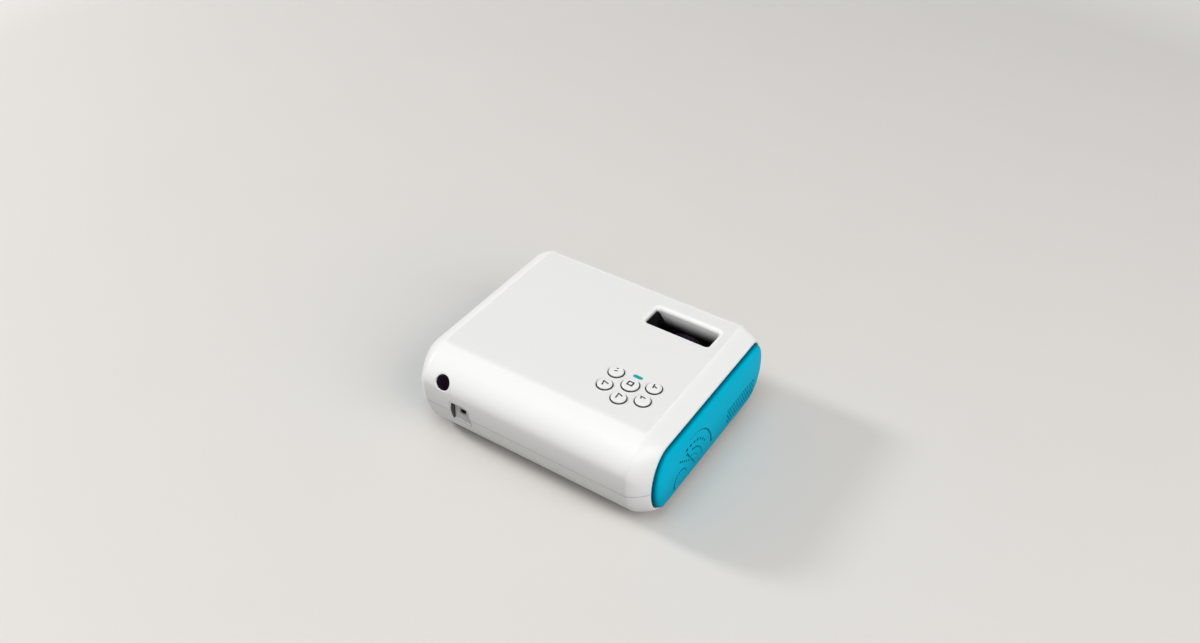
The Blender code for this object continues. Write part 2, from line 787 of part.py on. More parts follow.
def inlet_z():
    """Height of the inlet's middle."""
    return FOOT_STAND + INLET_RISE


def post_places():
    """Middle of each screw post, with the sign of its side in its name."""
    return (("front_left", -FRONT_POST_X, FRONT_POST_Y), ("front_right", FRONT_POST_X, FRONT_POST_Y),
            ("back_left", -BACK_POST_X, BACK_POST_Y), ("back_right", BACK_POST_X, BACK_POST_Y))


def key_places():
    """Name, x, y and radius of each key."""
    x, y = KEYPAD_X, KEYPAD_Y
    return (("key_centre", x, y, MAIN_KEY_RADIUS),
            ("key_front_left", x - KEY_SIDE_STEP, y - KEY_FRONT_STEP, KEY_RADIUS),
            ("key_front_right", x + KEY_SIDE_STEP, y - KEY_FRONT_STEP, KEY_RADIUS),
            ("key_back_left", x - KEY_SIDE_STEP, y + KEY_BACK_STEP, KEY_RADIUS),
            ("key_back_right", x + KEY_SIDE_STEP, y + KEY_BACK_STEP, KEY_RADIUS),
            ("key_rear", x, y + KEY_REAR_STEP, KEY_RADIUS))


def keypad_span():
    """Low and high y of the mat under the keys, and its half width in x."""
    front = KEYPAD_Y - KEY_FRONT_STEP - DOME_RADIUS
    back = KEYPAD_Y + KEY_REAR_STEP + MAT_MARGIN
    return front, back, KEY_SIDE_STEP + MAT_MARGIN


def key_board_corners():
    """Low and high x and y of the board under the keys."""
    front, back, half = keypad_span()
    reach = half + KEY_BOARD_MARGIN + PEG_RADIUS
    light_front = KEYPAD_Y - LIGHT_Y_STEP - LIGHT_WIDTH - PEG_RADIUS
    return KEYPAD_X - reach, light_front, KEYPAD_X + reach, back + PEG_RADIUS


def peg_places():
    """Middle of each roof peg that the key board hangs on."""
    low_x, low_y, high_x, high_y = key_board_corners()
    inset = PEG_RADIUS + GAP
    return [(x, y) for x in (low_x + inset, high_x - inset) for y in (low_y + inset, high_y - inset)]


def infrared_frame():
    """Place and tilt of the infrared window: a point on the back wall and its outward direction."""
    rise = FOOT_STAND + INFRARED_RISE
    share = (rise - MIDDLE.back_waist) / (MIDDLE.high - MIDDLE.back_waist)
    y = MIDDLE.back - MIDDLE.back_top_run * (1 - math.sqrt(1 - share * share))
    tilt = math.radians(INFRARED_TILT)
    outward = Vector((0, math.cos(tilt), math.sin(tilt)))
    return Vector((INFRARED_X, y, rise)), outward


def aim(made, origin, outward):
    """Put a piece whose local Z is its axis at a point, with the axis along a direction."""
    made.location = origin
    made.rotation_euler = outward.to_track_quat("Z", "Y").to_euler()
    return made


def build_upper_shell(solid, hollow, bezel_hole, inlet_hole):
    """Upper shell with the window collar, posts, pegs and the holes in its roof and back."""
    shell = solid.copy()
    shell.data = solid.data.copy()
    shell.name = "upper_shell"
    PARTS.objects.link(shell)
    shell.hide_render = False
    shell.display_type = "TEXTURED"
    shell.data.materials.append(WHITE)
    smooth(shell, 18.0)
    far = RIM_HALF + OVERRUN
    below = block("below_split", (-far, FRONT_Y - OVERRUN, -OVERRUN),
                  (far, BACK_Y + OVERRUN, SPLIT_Z + GAP / 2))
    cut(shell, hollow)

    collar_low = LENS_Z + RING_RADIUS + COLLAR_CLEARANCE
    collar = prism("window_collar",
                   rounded_rectangle(WINDOW_LENGTH + 2 * COLLAR_WALL, WINDOW_WIDTH + 2 * COLLAR_WALL,
                                     WINDOW_RADIUS + COLLAR_WALL),
                   (LENS_X, WINDOW_Y, collar_low), "Z", ROOF_OUT - WALL / 2 - collar_low)
    fuse(shell, collar)
    for place, x, y in post_places():
        fuse(shell, rod("upper_post_" + place, (x, y, POST_SPLIT + GAP / 2), "Z", POST_RADIUS,
                        ROOF_IN + WALL / 2 - POST_SPLIT - GAP / 2))
    for number, (x, y) in enumerate(peg_places()):
        fuse(shell, rod(f"key_peg_{number}", (x, y, KEY_BOARD_TOP + GAP), "Z", PEG_RADIUS,
                        ROOF_IN + WALL / 2 - KEY_BOARD_TOP - GAP, sides=TINY_SIDES))
    cut(shell, below)

    levels = [(ROOF_OUT + OVERRUN, WINDOW_EDGE + OVERRUN / 2)]
    for step in range(EDGE_STEPS + 1):
        angle = math.pi / 2 * step / EDGE_STEPS
        levels.append((ROOF_OUT - WINDOW_EDGE_DROP * (1 - math.cos(angle)),
                       WINDOW_EDGE * (1 - math.sin(angle))))
    levels.append((collar_low - OVERRUN, 0))
    rings = [[(LENS_X + u, WINDOW_Y + v, z) for u, v in
              rounded_rectangle(WINDOW_LENGTH + 2 * more, WINDOW_WIDTH + 2 * more, WINDOW_RADIUS + more)]
             for z, more in levels]
    cut(shell, loft("window_hole", rings))
    for name, x, y, radius in key_places():
        cut(shell, rod(name + "_hole", (x, y, ROOF_IN - OVERRUN), "Z", radius + KEY_HOLE_GAP,
                       WALL + 2 * OVERRUN, sides=LENS_SIDES))
    light = rounded_rectangle(LIGHT_LENGTH + 2 * GAP, LIGHT_WIDTH + 2 * GAP, LIGHT_WIDTH / 2 + GAP / 2)
    cut(shell, prism("light_hole", light, (KEYPAD_X, KEYPAD_Y - LIGHT_Y_STEP, ROOF_IN - OVERRUN), "Z",
                     WALL + 2 * OVERRUN))
    point, outward = infrared_frame()
    hole = rod("infrared_hole", (0, 0, 0), "Z", INFRARED_RADIUS + GAP, INFRARED_DEPTH + 2 * OVERRUN,
               sides=ROUND_SIDES)
    cut(shell, aim(hole, point - outward * (INFRARED_DEPTH + OVERRUN), outward))
    cut(shell, bezel_hole, inlet_hole)
    for place, x, y in post_places():
        cut(shell, rod("upper_screw_hole_" + place, (x, y, POST_SPLIT - OVERRUN), "Z",
                       SCREW_RADIUS + GAP, screw_top() - POST_SPLIT + OVERRUN + GAP, sides=TINY_SIDES))
    return shell


def screw_low():
    """Height of the underside of a case screw's head."""
    return FLOOR_OUT + SCREW_HEAD_DEPTH - SCREW_HEAD_THICK


def screw_top():
    """Height of a case screw's tip."""
    return screw_low() + SCREW_HEAD_THICK + SCREW_LENGTH


def build_lower_shell(solid, hollow, bezel_hole, inlet_hole):
    """Lower shell with posts, bosses, rails and saddles for what it carries."""
    shell = solid.copy()
    shell.data = solid.data.copy()
    shell.name = "lower_shell"
    PARTS.objects.link(shell)
    shell.hide_render = False
    shell.display_type = "TEXTURED"
    shell.data.materials.append(WHITE)
    smooth(shell, 18.0)
    far = RIM_HALF + OVERRUN
    above = block("above_split", (-far, FRONT_Y - OVERRUN, SPLIT_Z - GAP / 2),
                  (far, BACK_Y + OVERRUN, ROOF_OUT + OVERRUN))
    cut(shell, hollow, above)
    root = FLOOR_IN - WALL / 2
    for place, x, y in post_places():
        fuse(shell, rod("lower_post_" + place, (x, y, root), "Z", POST_RADIUS,
                        POST_SPLIT - GAP / 2 - root))
    for number, (x, y) in enumerate(standoff_places()):
        fuse(shell, rod(f"standoff_{number}", (x, y, root), "Z", STANDOFF_RADIUS,
                        MAIN_BOARD_LOW - GAP - root, sides=TINY_SIDES))
    rail = (ENGINE_RIGHT - ENGINE_LEFT) / 6
    for number, x in enumerate((ENGINE_LEFT + 2 * rail, ENGINE_RIGHT - rail)):
        fuse(shell, block(f"engine_rail_{number}", (x, ENGINE_FRONT + rail / 2, root),
                          (x + ENGINE_WALL, ENGINE_BACK - rail / 2, ENGINE_LOW - GAP)))
    for number, side in enumerate((-1, 1)):
        y = FAN_Y + side * FAN_SIZE / 3
        fuse(shell, block(f"fan_rail_{number}", (SINK_X + SINK_BASE, y - ENGINE_WALL / 2, root),
                          (FAN_X + FAN_DEPTH, y + ENGINE_WALL / 2, FAN_LOW - GAP)))
    saddle_x = -(GASKET_X - GASKET_THICK - GAP - BASKET_FLANGE - BASKET_DEPTH - GAP - MAGNET_DEPTH / 2)
    fuse(shell, block("speaker_saddle",
                      (saddle_x - SADDLE_THICK / 2, SPEAKER_Y - SADDLE_WIDTH / 2, root),
                      (saddle_x + SADDLE_THICK / 2, SPEAKER_Y + SADDLE_WIDTH / 2,
                       SPEAKER_Z - MAGNET_RADIUS / 3)))
    cut(shell, rod("saddle_hollow", (saddle_x - SADDLE_THICK, SPEAKER_Y, SPEAKER_Z), "X",
                   MAGNET_RADIUS + GAP, 2 * SADDLE_THICK, sides=HIDDEN_SIDES))
    fuse(shell, rod("insert_boss", (INSERT_X, INSERT_Y, root), "Z", INSERT_RADIUS + GAP + BOSS_WALL,
                    FLOOR_OUT + INSERT_DEPTH + GAP + BOSS_WALL - root))
    fuse(shell, rod("tilt_boss", (TILT_X, TILT_Y, root), "Z", TILT_STEM_RADIUS + RUN_GAP + BOSS_WALL,
                    TILT_BOSS_HEIGHT - root))
    cut(shell, rod("insert_seat", (INSERT_X, INSERT_Y, FLOOR_OUT - OVERRUN), "Z", INSERT_RADIUS + GAP,
                   OVERRUN + INSERT_DEPTH + GAP))
    cut(shell, rod("tilt_bore", (TILT_X, TILT_Y, FLOOR_OUT - OVERRUN), "Z",
                   TILT_STEM_RADIUS + RUN_GAP, TILT_BOSS_HEIGHT + OVERRUN))
    cut(shell, rod("tilt_recess", (TILT_X, TILT_Y, FLOOR_OUT - OVERRUN), "Z",
                   TILT_PAD_RADIUS + 2 * GAP, OVERRUN + TILT_PAD_SINK, sides=ROUND_SIDES))
    for place, x, y in post_places():
        cut(shell, rod("screw_head_hole_" + place, (x, y, FLOOR_OUT - OVERRUN), "Z",
                       SCREW_HEAD_RADIUS + GAP, OVERRUN + screw_low() + SCREW_HEAD_THICK + GAP - FLOOR_OUT))
        cut(shell, rod("screw_hole_" + place, (x, y, screw_low()), "Z", SCREW_RADIUS + GAP,
                       POST_SPLIT + OVERRUN - screw_low(), sides=TINY_SIDES))
    for name, x, y in foot_places():
        cut(shell, rod(name + "_seat", (x, y, FLOOR_OUT - OVERRUN), "Z", FOOT_RADIUS + GAP,
                       OVERRUN + FOOT_SINK))
    cut(shell, notch_tool(), bezel_hole, inlet_hole)
    return shell


def notch_tool():
    """Short slot low on the back of the lower shell."""
    rise = FOOT_STAND + NOTCH_RISE
    share = (MIDDLE.back_waist - rise) / (MIDDLE.back_waist - MIDDLE.low)
    y = MIDDLE.back - MIDDLE.back_low_run * (1 - math.sqrt(1 - share * share))
    drop = (MIDDLE.back_waist - MIDDLE.low) * math.sqrt(1 - share * share)
    slope = math.atan2(MIDDLE.back_low_run * share, drop)
    outward = Vector((0, math.cos(slope), -math.sin(slope)))
    tool = prism("notch_tool", rounded_rectangle(NOTCH_LENGTH, NOTCH_WIDTH, NOTCH_WIDTH / 3, 2),
                 (0, 0, 0), "Z", NOTCH_DEPTH + OVERRUN)
    tool.location = Vector((NOTCH_X, y, rise)) - outward * NOTCH_DEPTH
    tool.rotation_euler = (-math.pi / 2 - slope, 0, 0)
    return tool


def standoff_places():
    """Middle of each standoff under the main board."""
    inset = 2 * STANDOFF_RADIUS
    return [(x, y) for x in (MAIN_BOARD_LEFT + inset, MAIN_BOARD_RIGHT - 2 * inset)
            for y in (MAIN_BOARD_FRONT + inset, MAIN_BOARD_BACK - 2 * inset)]


def foot_places():
    """Name and middle of each rubber foot."""
    return (("foot_front_left", -FOOT_X, FRONT_FOOT_Y), ("foot_front_right", FOOT_X, FRONT_FOOT_Y),
            ("foot_back_left", -FOOT_X, BACK_FOOT_Y), ("foot_back_right", FOOT_X, BACK_FOOT_Y))


def cover_rings(side):
    """Rings of an end cover from its outer face over the skirt to its inner face."""
    skirt_in = LEDGE_OUT_X + GAP
    stations = ((COVER_FACE_X, COVER_FACE_INSET),
                (RIM_HALF + COVER_BORDER_PROUD, COVER_BORDER_INSET),
                (RIM_HALF + COVER_SHOULDER_PROUD, COVER_SHOULDER_INSET),
                (RIM_HALF - COVER_SKIRT_DROP, 0),
                (skirt_in, 0),
                (skirt_in, COVER_THICK),
                (RIM_HALF, COVER_THICK),
                (RIM_HALF + COVER_BORDER_PROUD - COVER_THICK, COVER_THICK + COVER_SHOULDER_INSET),
                (COVER_INNER_X, COVER_INNER_INSET + COVER_THICK))
    return [COVER.inset(depth).ring(side * x) for x, depth in stations]


def build_left_cover():
    """Visible blue end cover, with the speaker's swirl and the intake's block of holes."""
    cover = smooth(loft("end_cover_left", cover_rings(-1), BLUE), 30.0)
    reach = COVER_THICK + 2 * OVERRUN
    base = -COVER_FACE_X - OVERRUN
    cut(cover, many_prisms("swirl_cutter", swirl_holes(), base, reach))
    holes = []
    for row in range(VENT_ROWS):
        for column in range(VENT_COLUMNS):
            shift = (row % 2 - 1 / 2) * VENT_PITCH_Y / 2
            y = VENT_Y + (column - (VENT_COLUMNS - 1) / 2) * VENT_PITCH_Y + shift
            z = VENT_Z + (row - (VENT_ROWS - 1) / 2) * VENT_PITCH_Z
            holes.append((y, z, VENT_HOLE / 2, VENT_SIDES))
    cut(cover, many_prisms("vent_cutter", holes, base, reach))
    return cover


def build_right_cover():
    """Hidden blue end cover, with the exhaust slots and the ports of the sockets."""
    cover = smooth(loft("end_cover_right", cover_rings(1), BLUE), 30.0)
    base = COVER_INNER_X - OVERRUN
    reach = COVER_THICK + 2 * OVERRUN
    for number in range(EXHAUST_SLOTS):
        y = FAN_Y + (number - (EXHAUST_SLOTS - 1) / 2) * EXHAUST_PITCH
        slot = rounded_rectangle(EXHAUST_HEIGHT, EXHAUST_WIDTH, EXHAUST_WIDTH / 3, 2)
        cut(cover, prism(f"exhaust_slot_{number}", slot, (base, y, LENS_Z - EXHAUST_DROP), "X", reach))
    for name, y, width, height in port_sizes():
        port = rounded_rectangle(height + 2 * SOCKET_PORT_GAP, width + 2 * SOCKET_PORT_GAP,
                                 SOCKET_WALL, 1)
        z = MAIN_BOARD_TOP + GAP + height / 2
        cut(cover, prism(name + "_port", port, (base, y, z), "X", reach))
    return cover


def port_sizes():
    """Name, middle y, width and height of each socket behind the hidden end cover."""
    return (("picture_socket", PICTURE_SOCKET_Y, PICTURE_SOCKET_WIDTH, PICTURE_SOCKET_HEIGHT),
            ("data_socket", DATA_SOCKET_Y, DATA_SOCKET_WIDTH, DATA_SOCKET_HEIGHT),
            ("sound_jack", SOUND_JACK_Y, SOUND_JACK_WIDTH, SOUND_JACK_WIDTH))


def build_keypad():
    """Six keys, the mat with its domes, the board under it and the status light."""
    for name, x, y, radius in key_places():
        top = ROOF_OUT + KEY_PROUD
        flange = radius + KEY_FLANGE
        profile = [(0, top - KEY_FOOT), (radius - 2 * KEY_EDGE, top - KEY_CROWN - KEY_FOOT),
                   (radius - KEY_EDGE / 2, top - KEY_CROWN - KEY_EDGE / 2 - KEY_FOOT),
                   (radius, top - KEY_CROWN - 3 * KEY_EDGE / 2 - KEY_FOOT),
                   (radius, ROOF_IN - GAP - KEY_FOOT), (flange, ROOF_IN - GAP - KEY_FOOT),
                   (flange, KEY_FLANGE_LOW - KEY_FOOT), (KEY_STEM_RADIUS, KEY_FLANGE_LOW - KEY_FOOT),
                   (KEY_STEM_RADIUS, 0), (0, 0)]
        turned(name, profile, (x, y, KEY_FOOT), "Z", KEY_WHITE, sides=HIDDEN_SIDES)

    front, back, half = keypad_span()
    mat_low = KEY_BOARD_TOP + GAP
    mat = block("keypad_mat", (KEYPAD_X - half, front, mat_low),
                (KEYPAD_X + half, back, mat_low + MAT_THICK), SILICONE)
    for name, x, y, radius in key_places():
        dome = [(0, DOME_TOP - mat_low), (DOME_RADIUS / 2, DOME_TOP - mat_low),
                (DOME_RADIUS, MAT_THICK / 2), (0, MAT_THICK / 2)]
        fuse(mat, turned(name + "_dome", dome, (x, y, mat_low), "Z", sides=TINY_SIDES))
    low_x, low_y, high_x, high_y = key_board_corners()
    block("keypad_board", (low_x, low_y, KEY_BOARD_TOP - BOARD_THICK), (high_x, high_y, KEY_BOARD_TOP),
          BOARD_GREEN)

    y = KEYPAD_Y - LIGHT_Y_STEP
    stem = rounded_rectangle(LIGHT_LENGTH, LIGHT_WIDTH, LIGHT_WIDTH * LIGHT_ROUND_SHARE, 4)
    light_low = KEY_BOARD_TOP + GAP
    light = prism("status_light", stem, (KEYPAD_X, y, light_low), "Z",
                  ROOF_OUT + LIGHT_PROUD - light_low, TEAL)
    wider = rounded_rectangle(LIGHT_LENGTH + 2 * LIGHT_FLANGE, LIGHT_WIDTH + LIGHT_FLANGE,
                              LIGHT_WIDTH / 2, 2)
    fuse(light, prism("status_light_flange", wider, (KEYPAD_X, y, ROOF_IN - GAP - LIGHT_FLANGE), "Z",
                      LIGHT_FLANGE))


def build_infrared():
    """Dark domed window in the back and the little board behind it."""
    point, outward = infrared_frame()
    crown, top, face = INFRARED_CROWN, INFRARED_DEPTH, INFRARED_RADIUS * INFRARED_FACE_SHARE
    profile = [(0, top), (face / 2, top - crown / 4), (face, top - crown),
               (INFRARED_RADIUS, top - crown * 3 / 2), (INFRARED_RADIUS, 0), (0, 0)]
    window = turned("infrared_window", profile, (0, 0, 0), "Z", DARK_GLASS, sides=LENS_SIDES)
    aim(window, point - outward * INFRARED_DEPTH, outward)
    board = rounded_rectangle(2 * INFRARED_BOARD, 2 * INFRARED_BOARD, INFRARED_BOARD / 4, 2)
    piece = prism("infrared_board", board, (0, 0, 0), "Z", INFRARED_BOARD_THICK, BOARD_GREEN)
    aim(piece, point - outward * (INFRARED_DEPTH + GAP + INFRARED_BOARD_THICK), outward)


def build_inlet(solid):
    """Cup of the power inlet, trimmed to the case, and the jack behind it."""
    width, height = INLET_WIDTH + 2 * INLET_CUP_WALL, INLET_HEIGHT + 2 * INLET_CUP_WALL
    back_y = BACK_Y - INLET_DEPTH - INLET_CUP_WALL
    cup = prism("inlet_cup", rounded_rectangle(width, height, INLET_RADIUS + INLET_CUP_WALL),
                (INLET_X, back_y, inlet_z()), "Y", INLET_DEPTH + INLET_CUP_WALL + OVERRUN, WHITE)
    keep_inside(cup, solid)
    cut(cup, prism("inlet_pocket", rounded_rectangle(INLET_WIDTH, INLET_HEIGHT, INLET_RADIUS),
                   (INLET_X, BACK_Y - INLET_DEPTH, inlet_z()), "Y", INLET_DEPTH + OVERRUN))
    opening = rounded_rectangle(JACK_OPENING_WIDTH, JACK_OPENING_HEIGHT, SOCKET_WALL, 1)
    cut(cup, prism("jack_opening", opening, (INLET_X, back_y - OVERRUN, inlet_z()), "Y",
                   INLET_CUP_WALL + 2 * OVERRUN))

    low = MAIN_BOARD_TOP + GAP
    jack = block("power_jack", (INLET_X - JACK_WIDTH / 2, JACK_FACE_Y - JACK_DEPTH, low),
                 (INLET_X + JACK_WIDTH / 2, JACK_FACE_Y, low + JACK_HEIGHT), BLACK)
    cut(jack, prism("jack_mouth", opening, (INLET_X, JACK_FACE_Y - JACK_BORE_DEPTH, inlet_z()), "Y",
                    JACK_BORE_DEPTH + OVERRUN))
    fuse(jack, rod("jack_pin", (INLET_X, JACK_FACE_Y - JACK_BORE_DEPTH - OVERRUN / 2, inlet_z()), "Y",
                   JACK_PIN_RADIUS, JACK_BORE_DEPTH, sides=TINY_SIDES))


def build_main_board():
    """Main board with its cooled chip, and the sockets at the hidden end."""
    board = block("main_board", (MAIN_BOARD_LEFT, MAIN_BOARD_FRONT, MAIN_BOARD_LOW),
                  (MAIN_BOARD_RIGHT, MAIN_BOARD_BACK, MAIN_BOARD_TOP), BOARD_GREEN)
    cut(board, rod("board_post_hole", (BACK_POST_X, BACK_POST_Y, MAIN_BOARD_LOW - OVERRUN), "Z",
                   POST_RADIUS + 2 * GAP, BOARD_THICK + 2 * OVERRUN))
    half = CHIP_SIZE / 2
    block("chip_cooler", (CHIP_X - half, CHIP_Y - half, MAIN_BOARD_TOP + GAP),
          (CHIP_X + half, CHIP_Y + half, MAIN_BOARD_TOP + GAP + CHIP_HEIGHT), ALUMINIUM)
    for name, y, width, height in port_sizes():
        low = MAIN_BOARD_TOP + GAP
        finish = BLACK if name == "sound_jack" else STEEL
        socket = block(name, (SOCKET_X - SOCKET_LENGTH, y - width / 2, low),
                       (SOCKET_X, y + width / 2, low + height), finish)
        if name == "sound_jack":
            cut(socket, rod(name + "_bore", (SOCKET_X - SOCKET_MOUTH, y, low + height / 2), "X",
                            SOUND_JACK_BORE, SOCKET_MOUTH + OVERRUN))
            continue
        mouth_x, half = SOCKET_X - SOCKET_MOUTH, width / 2 - SOCKET_WALL
        cut(socket, block(name + "_mouth", (mouth_x, y - half, low + SOCKET_WALL),
                          (SOCKET_X + OVERRUN, y + half, low + height - SOCKET_WALL)))
        middle, tongue = low + height / 2, height / 8
        fuse(socket, block(name + "_tongue", (mouth_x - OVERRUN / 2, y - width / 3, middle - tongue),
                           (SOCKET_X - SOCKET_MOUTH / 6, y + width / 3, middle + tongue)))


def engine_plan(depth):
    """Plan of the optical engine, drawn in by a depth, with the mirror's slanted corner."""
    left, front = ENGINE_LEFT + depth, ENGINE_FRONT + depth
    right, back = ENGINE_RIGHT - depth, ENGINE_BACK - depth
    slant = (MIRROR_THICK + GAP + ENGINE_WALL - depth) * math.sqrt(2) + MIRROR_Y - LENS_X
    return [(left, front), (right, front), (right, back), (back - slant, back), (left, left + slant)]


def build_engine():
    """Tray and lid of the optical engine, with every optic that stands in it."""
    tray = prism("engine_tray", engine_plan(0), (0, 0, ENGINE_LOW), "Z", ENGINE_HIGH - ENGINE_LOW, BLACK)
    floor = ENGINE_LOW + ENGINE_WALL
    cut(tray, prism("engine_hollow", engine_plan(ENGINE_WALL), (0, 0, floor), "Z",
                    ENGINE_HIGH - floor + OVERRUN))
    cut(tray, rod("engine_lens_hole", (LENS_X, ENGINE_FRONT - OVERRUN, LENS_Z), "Y", TUBE_RADIUS + GAP,
                  ENGINE_WALL + 2 * OVERRUN, sides=LENS_SIDES))
    half = LIGHT_OPENING / 2
    cut(tray, block("engine_light_hole", (ENGINE_RIGHT - ENGINE_WALL - OVERRUN, MIRROR_Y - half,
                                          LENS_Z - half),
                    (ENGINE_RIGHT + OVERRUN, MIRROR_Y + half, LENS_Z + half)))
    prism("engine_lid", engine_plan(0), (0, 0, ENGINE_HIGH + GAP), "Z", ENGINE_LID_THICK, BLACK)

    base = floor + GAP
    mirror = block("fold_mirror", (-MIRROR_WIDTH / 2, 0, 0),
                   (MIRROR_WIDTH / 2, MIRROR_THICK, MIRROR_HEIGHT), MIRROR)
    mirror.rotation_euler = (0, 0, math.pi / 4)
    step = MIRROR_THICK / 2 / math.sqrt(2)
    mirror.location = (LENS_X - step, MIRROR_Y + step, base + MIRROR_HEIGHT / 2)

    front = ENGINE_FRONT + ENGINE_WALL + GAP
    back = ENGINE_BACK - ENGINE_WALL - GAP
    top = base + OPTIC_HEIGHT
    for name, share in zip(("ridged_lens_front", "ridged_lens_rear"), RIDGED_LENS_SHARES):
        x = along_light(share)
        block(name, (x, front, base), (x + RIDGED_LENS_THICK, back, top), GLASS)
    x = along_light(HEAT_GLASS_SHARE)
    block("heat_glass", (x, front, base), (x + HEAT_GLASS_THICK, back, top), GLASS)
    x = along_light(PANEL_SHARE)
    panel = block("picture_panel", (x, front, base), (x + PANEL_THICK, back, top), BLACK)
    wide, tall, deep = PANEL_VIEW_WIDTH / 2, PANEL_VIEW_HEIGHT / 2, PANEL_THICK / 2
    for side in (-1, 1):
        face = x + PANEL_THICK / 2 + side * PANEL_THICK * 3 / 4
        cut(panel, block(f"panel_view_{side + 1}", (face - deep, MIRROR_Y - wide, LENS_Z - tall),
                         (face + deep, MIRROR_Y + wide, LENS_Z + tall)))
    x = along_light(HOLDER_SHARE)
    holder = block("condenser_holder", (x, front, base), (x + HOLDER_THICK, back, top), BLACK)
    cut(holder, rod("condenser_seat", (x - OVERRUN, MIRROR_Y, LENS_Z), "X", CONDENSER_RADIUS + GAP,
                    HOLDER_THICK + 2 * OVERRUN, sides=HIDDEN_SIDES))
    crown = arc_profile(CONDENSER_RADIUS, CONDENSER_BULGE, CONDENSER_EDGE)
    turned("condenser_lens", crown + [(CONDENSER_RADIUS, 0), (0, 0)],
           (x + HOLDER_THICK / 2 - CONDENSER_EDGE / 2, MIRROR_Y, LENS_Z), "X", GLASS,
           sides=HIDDEN_SIDES)

    half = LIGHT_BOARD_SIZE / 2
    emitter_half = EMITTER_SIZE / 2
    board = block("light_board", (ENGINE_RIGHT + GAP, MIRROR_Y - half, LENS_Z - half),
                  (ENGINE_RIGHT + GAP + LIGHT_BOARD_THICK, MIRROR_Y + half, LENS_Z + half), ALUMINIUM)
    fuse(board, block("emitter", (ENGINE_RIGHT + GAP - EMITTER_THICK, MIRROR_Y - emitter_half,
                                  LENS_Z - emitter_half),
                      (ENGINE_RIGHT + GAP + LIGHT_BOARD_THICK / 2, MIRROR_Y + emitter_half,
                       LENS_Z + emitter_half)))


def arc_profile(radius, bulge, base, steps=3):
    """Crown of a lens: (radius, height) points from the axis down to the edge."""
    sphere = (radius * radius + bulge * bulge) / (2 * bulge)
    points = []
    for step in range(steps + 1):
        r = radius * step / steps
        points.append((r, base + math.sqrt(sphere * sphere - r * r) - (sphere - bulge)))
    return points


def build_cooling():
    """Heat sink, fan frame and fan rotor behind the hidden end cover's slots."""
    half = SINK_SIZE / 2
    pitch = (SINK_SIZE - SINK_FIN_THICK) / (SINK_FINS - 1)
    outline = [(SINK_X, MIRROR_Y + half), (SINK_X, MIRROR_Y - half)]
    for number in range(SINK_FINS):
        low = MIRROR_Y - half + number * pitch
        if number:
            outline.append((SINK_X + SINK_BASE, low))
        outline.append((SINK_X + SINK_LENGTH, low))
        outline.append((SINK_X + SINK_LENGTH, low + SINK_FIN_THICK))
        if number < SINK_FINS - 1:
            outline.append((SINK_X + SINK_BASE, low + SINK_FIN_THICK))
    prism("heat_sink", outline, (0, 0, LENS_Z - half), "Z", SINK_SIZE, ALUMINIUM)

    middle = (FAN_X, FAN_Y, LENS_Z)
    frame = prism("fan_frame", rounded_rectangle(FAN_SIZE, FAN_SIZE, FAN_CORNER), middle, "X",
                  FAN_DEPTH, BLACK)
    cut(frame, rod("fan_bore", (FAN_X - OVERRUN, FAN_Y, LENS_Z), "X", FAN_BORE, FAN_DEPTH + 2 * OVERRUN,
                   sides=ROUND_SIDES))
    plate_x = FAN_X + FAN_DEPTH - FAN_PLATE
    fuse(frame, rod("fan_plate", (plate_x, FAN_Y, LENS_Z), "X", FAN_HUB, FAN_PLATE))
    for number in range(3):
        strut = block(f"fan_strut_{number}", (plate_x, -FAN_STRUT / 2, FAN_HUB - FAN_STRUT),
                      (FAN_X + FAN_DEPTH, FAN_STRUT / 2, FAN_BORE + FAN_STRUT / 3))
        angle = math.radians(120 * number)
        reach = (FAN_HUB - FAN_STRUT + FAN_BORE + FAN_STRUT / 3) / 2
        strut.rotation_euler = (angle, 0, 0)
        strut.location = (plate_x + FAN_PLATE / 2, FAN_Y - reach * math.sin(angle),
                          LENS_Z + reach * math.cos(angle))
        fuse(frame, strut)
    cut(frame, rod("fan_shaft_hole", (plate_x - OVERRUN, FAN_Y, LENS_Z), "X", FAN_SHAFT + RUN_GAP,
                   FAN_PLATE / 2 + OVERRUN))

    hub_depth = FAN_BLADE_DEPTH + 2 * RUN_GAP
    hub_low = plate_x - RUN_GAP - hub_depth
    rotor = rod("fan_rotor", (hub_low, FAN_Y, LENS_Z), "X", FAN_HUB - RUN_GAP, hub_depth, BLACK,
                sides=HIDDEN_SIDES)
    fuse(rotor, rod("fan_shaft", (hub_low + hub_depth - OVERRUN / 2, FAN_Y, LENS_Z), "X", FAN_SHAFT,
                    OVERRUN / 2 + FAN_PLATE / 2))
    for number in range(FAN_BLADES):
        fuse(rotor, fan_blade(number, hub_low))


def fan_blade(number, hub_low):
    """One twisted blade, rooted in the hub."""
    rings = []
    for share in FAN_BLADE_SHARES:
        radius = FAN_HUB / 2 + (FAN_BLADE_REACH - FAN_HUB / 2) * share
        pitch = math.radians(90 - FAN_BLADE_TWIST * (1 + share) / 2)
        along = Vector((math.sin(pitch), math.cos(pitch)))
        size_share = FAN_BLADE_ROOT_SHARE + (FAN_BLADE_TIP_SHARE - FAN_BLADE_ROOT_SHARE) * share
        half = FAN_BLADE_DEPTH / 2 * size_share
        thick = Vector((along.y, -along.x)) * FAN_BLADE_THICK / 2
        ends = (along * half + thick, -along * half + thick, -along * half - thick, along * half - thick)
        rings.append([(point.x, point.y, radius) for point in ends])
    blade = loft(f"fan_blade_{number}", rings)
    blade.location = (hub_low + FAN_BLADE_DEPTH / 2 + RUN_GAP, FAN_Y, LENS_Z)
    blade.rotation_euler = (math.radians(360 * number / FAN_BLADES), 0, 0)
    return blade


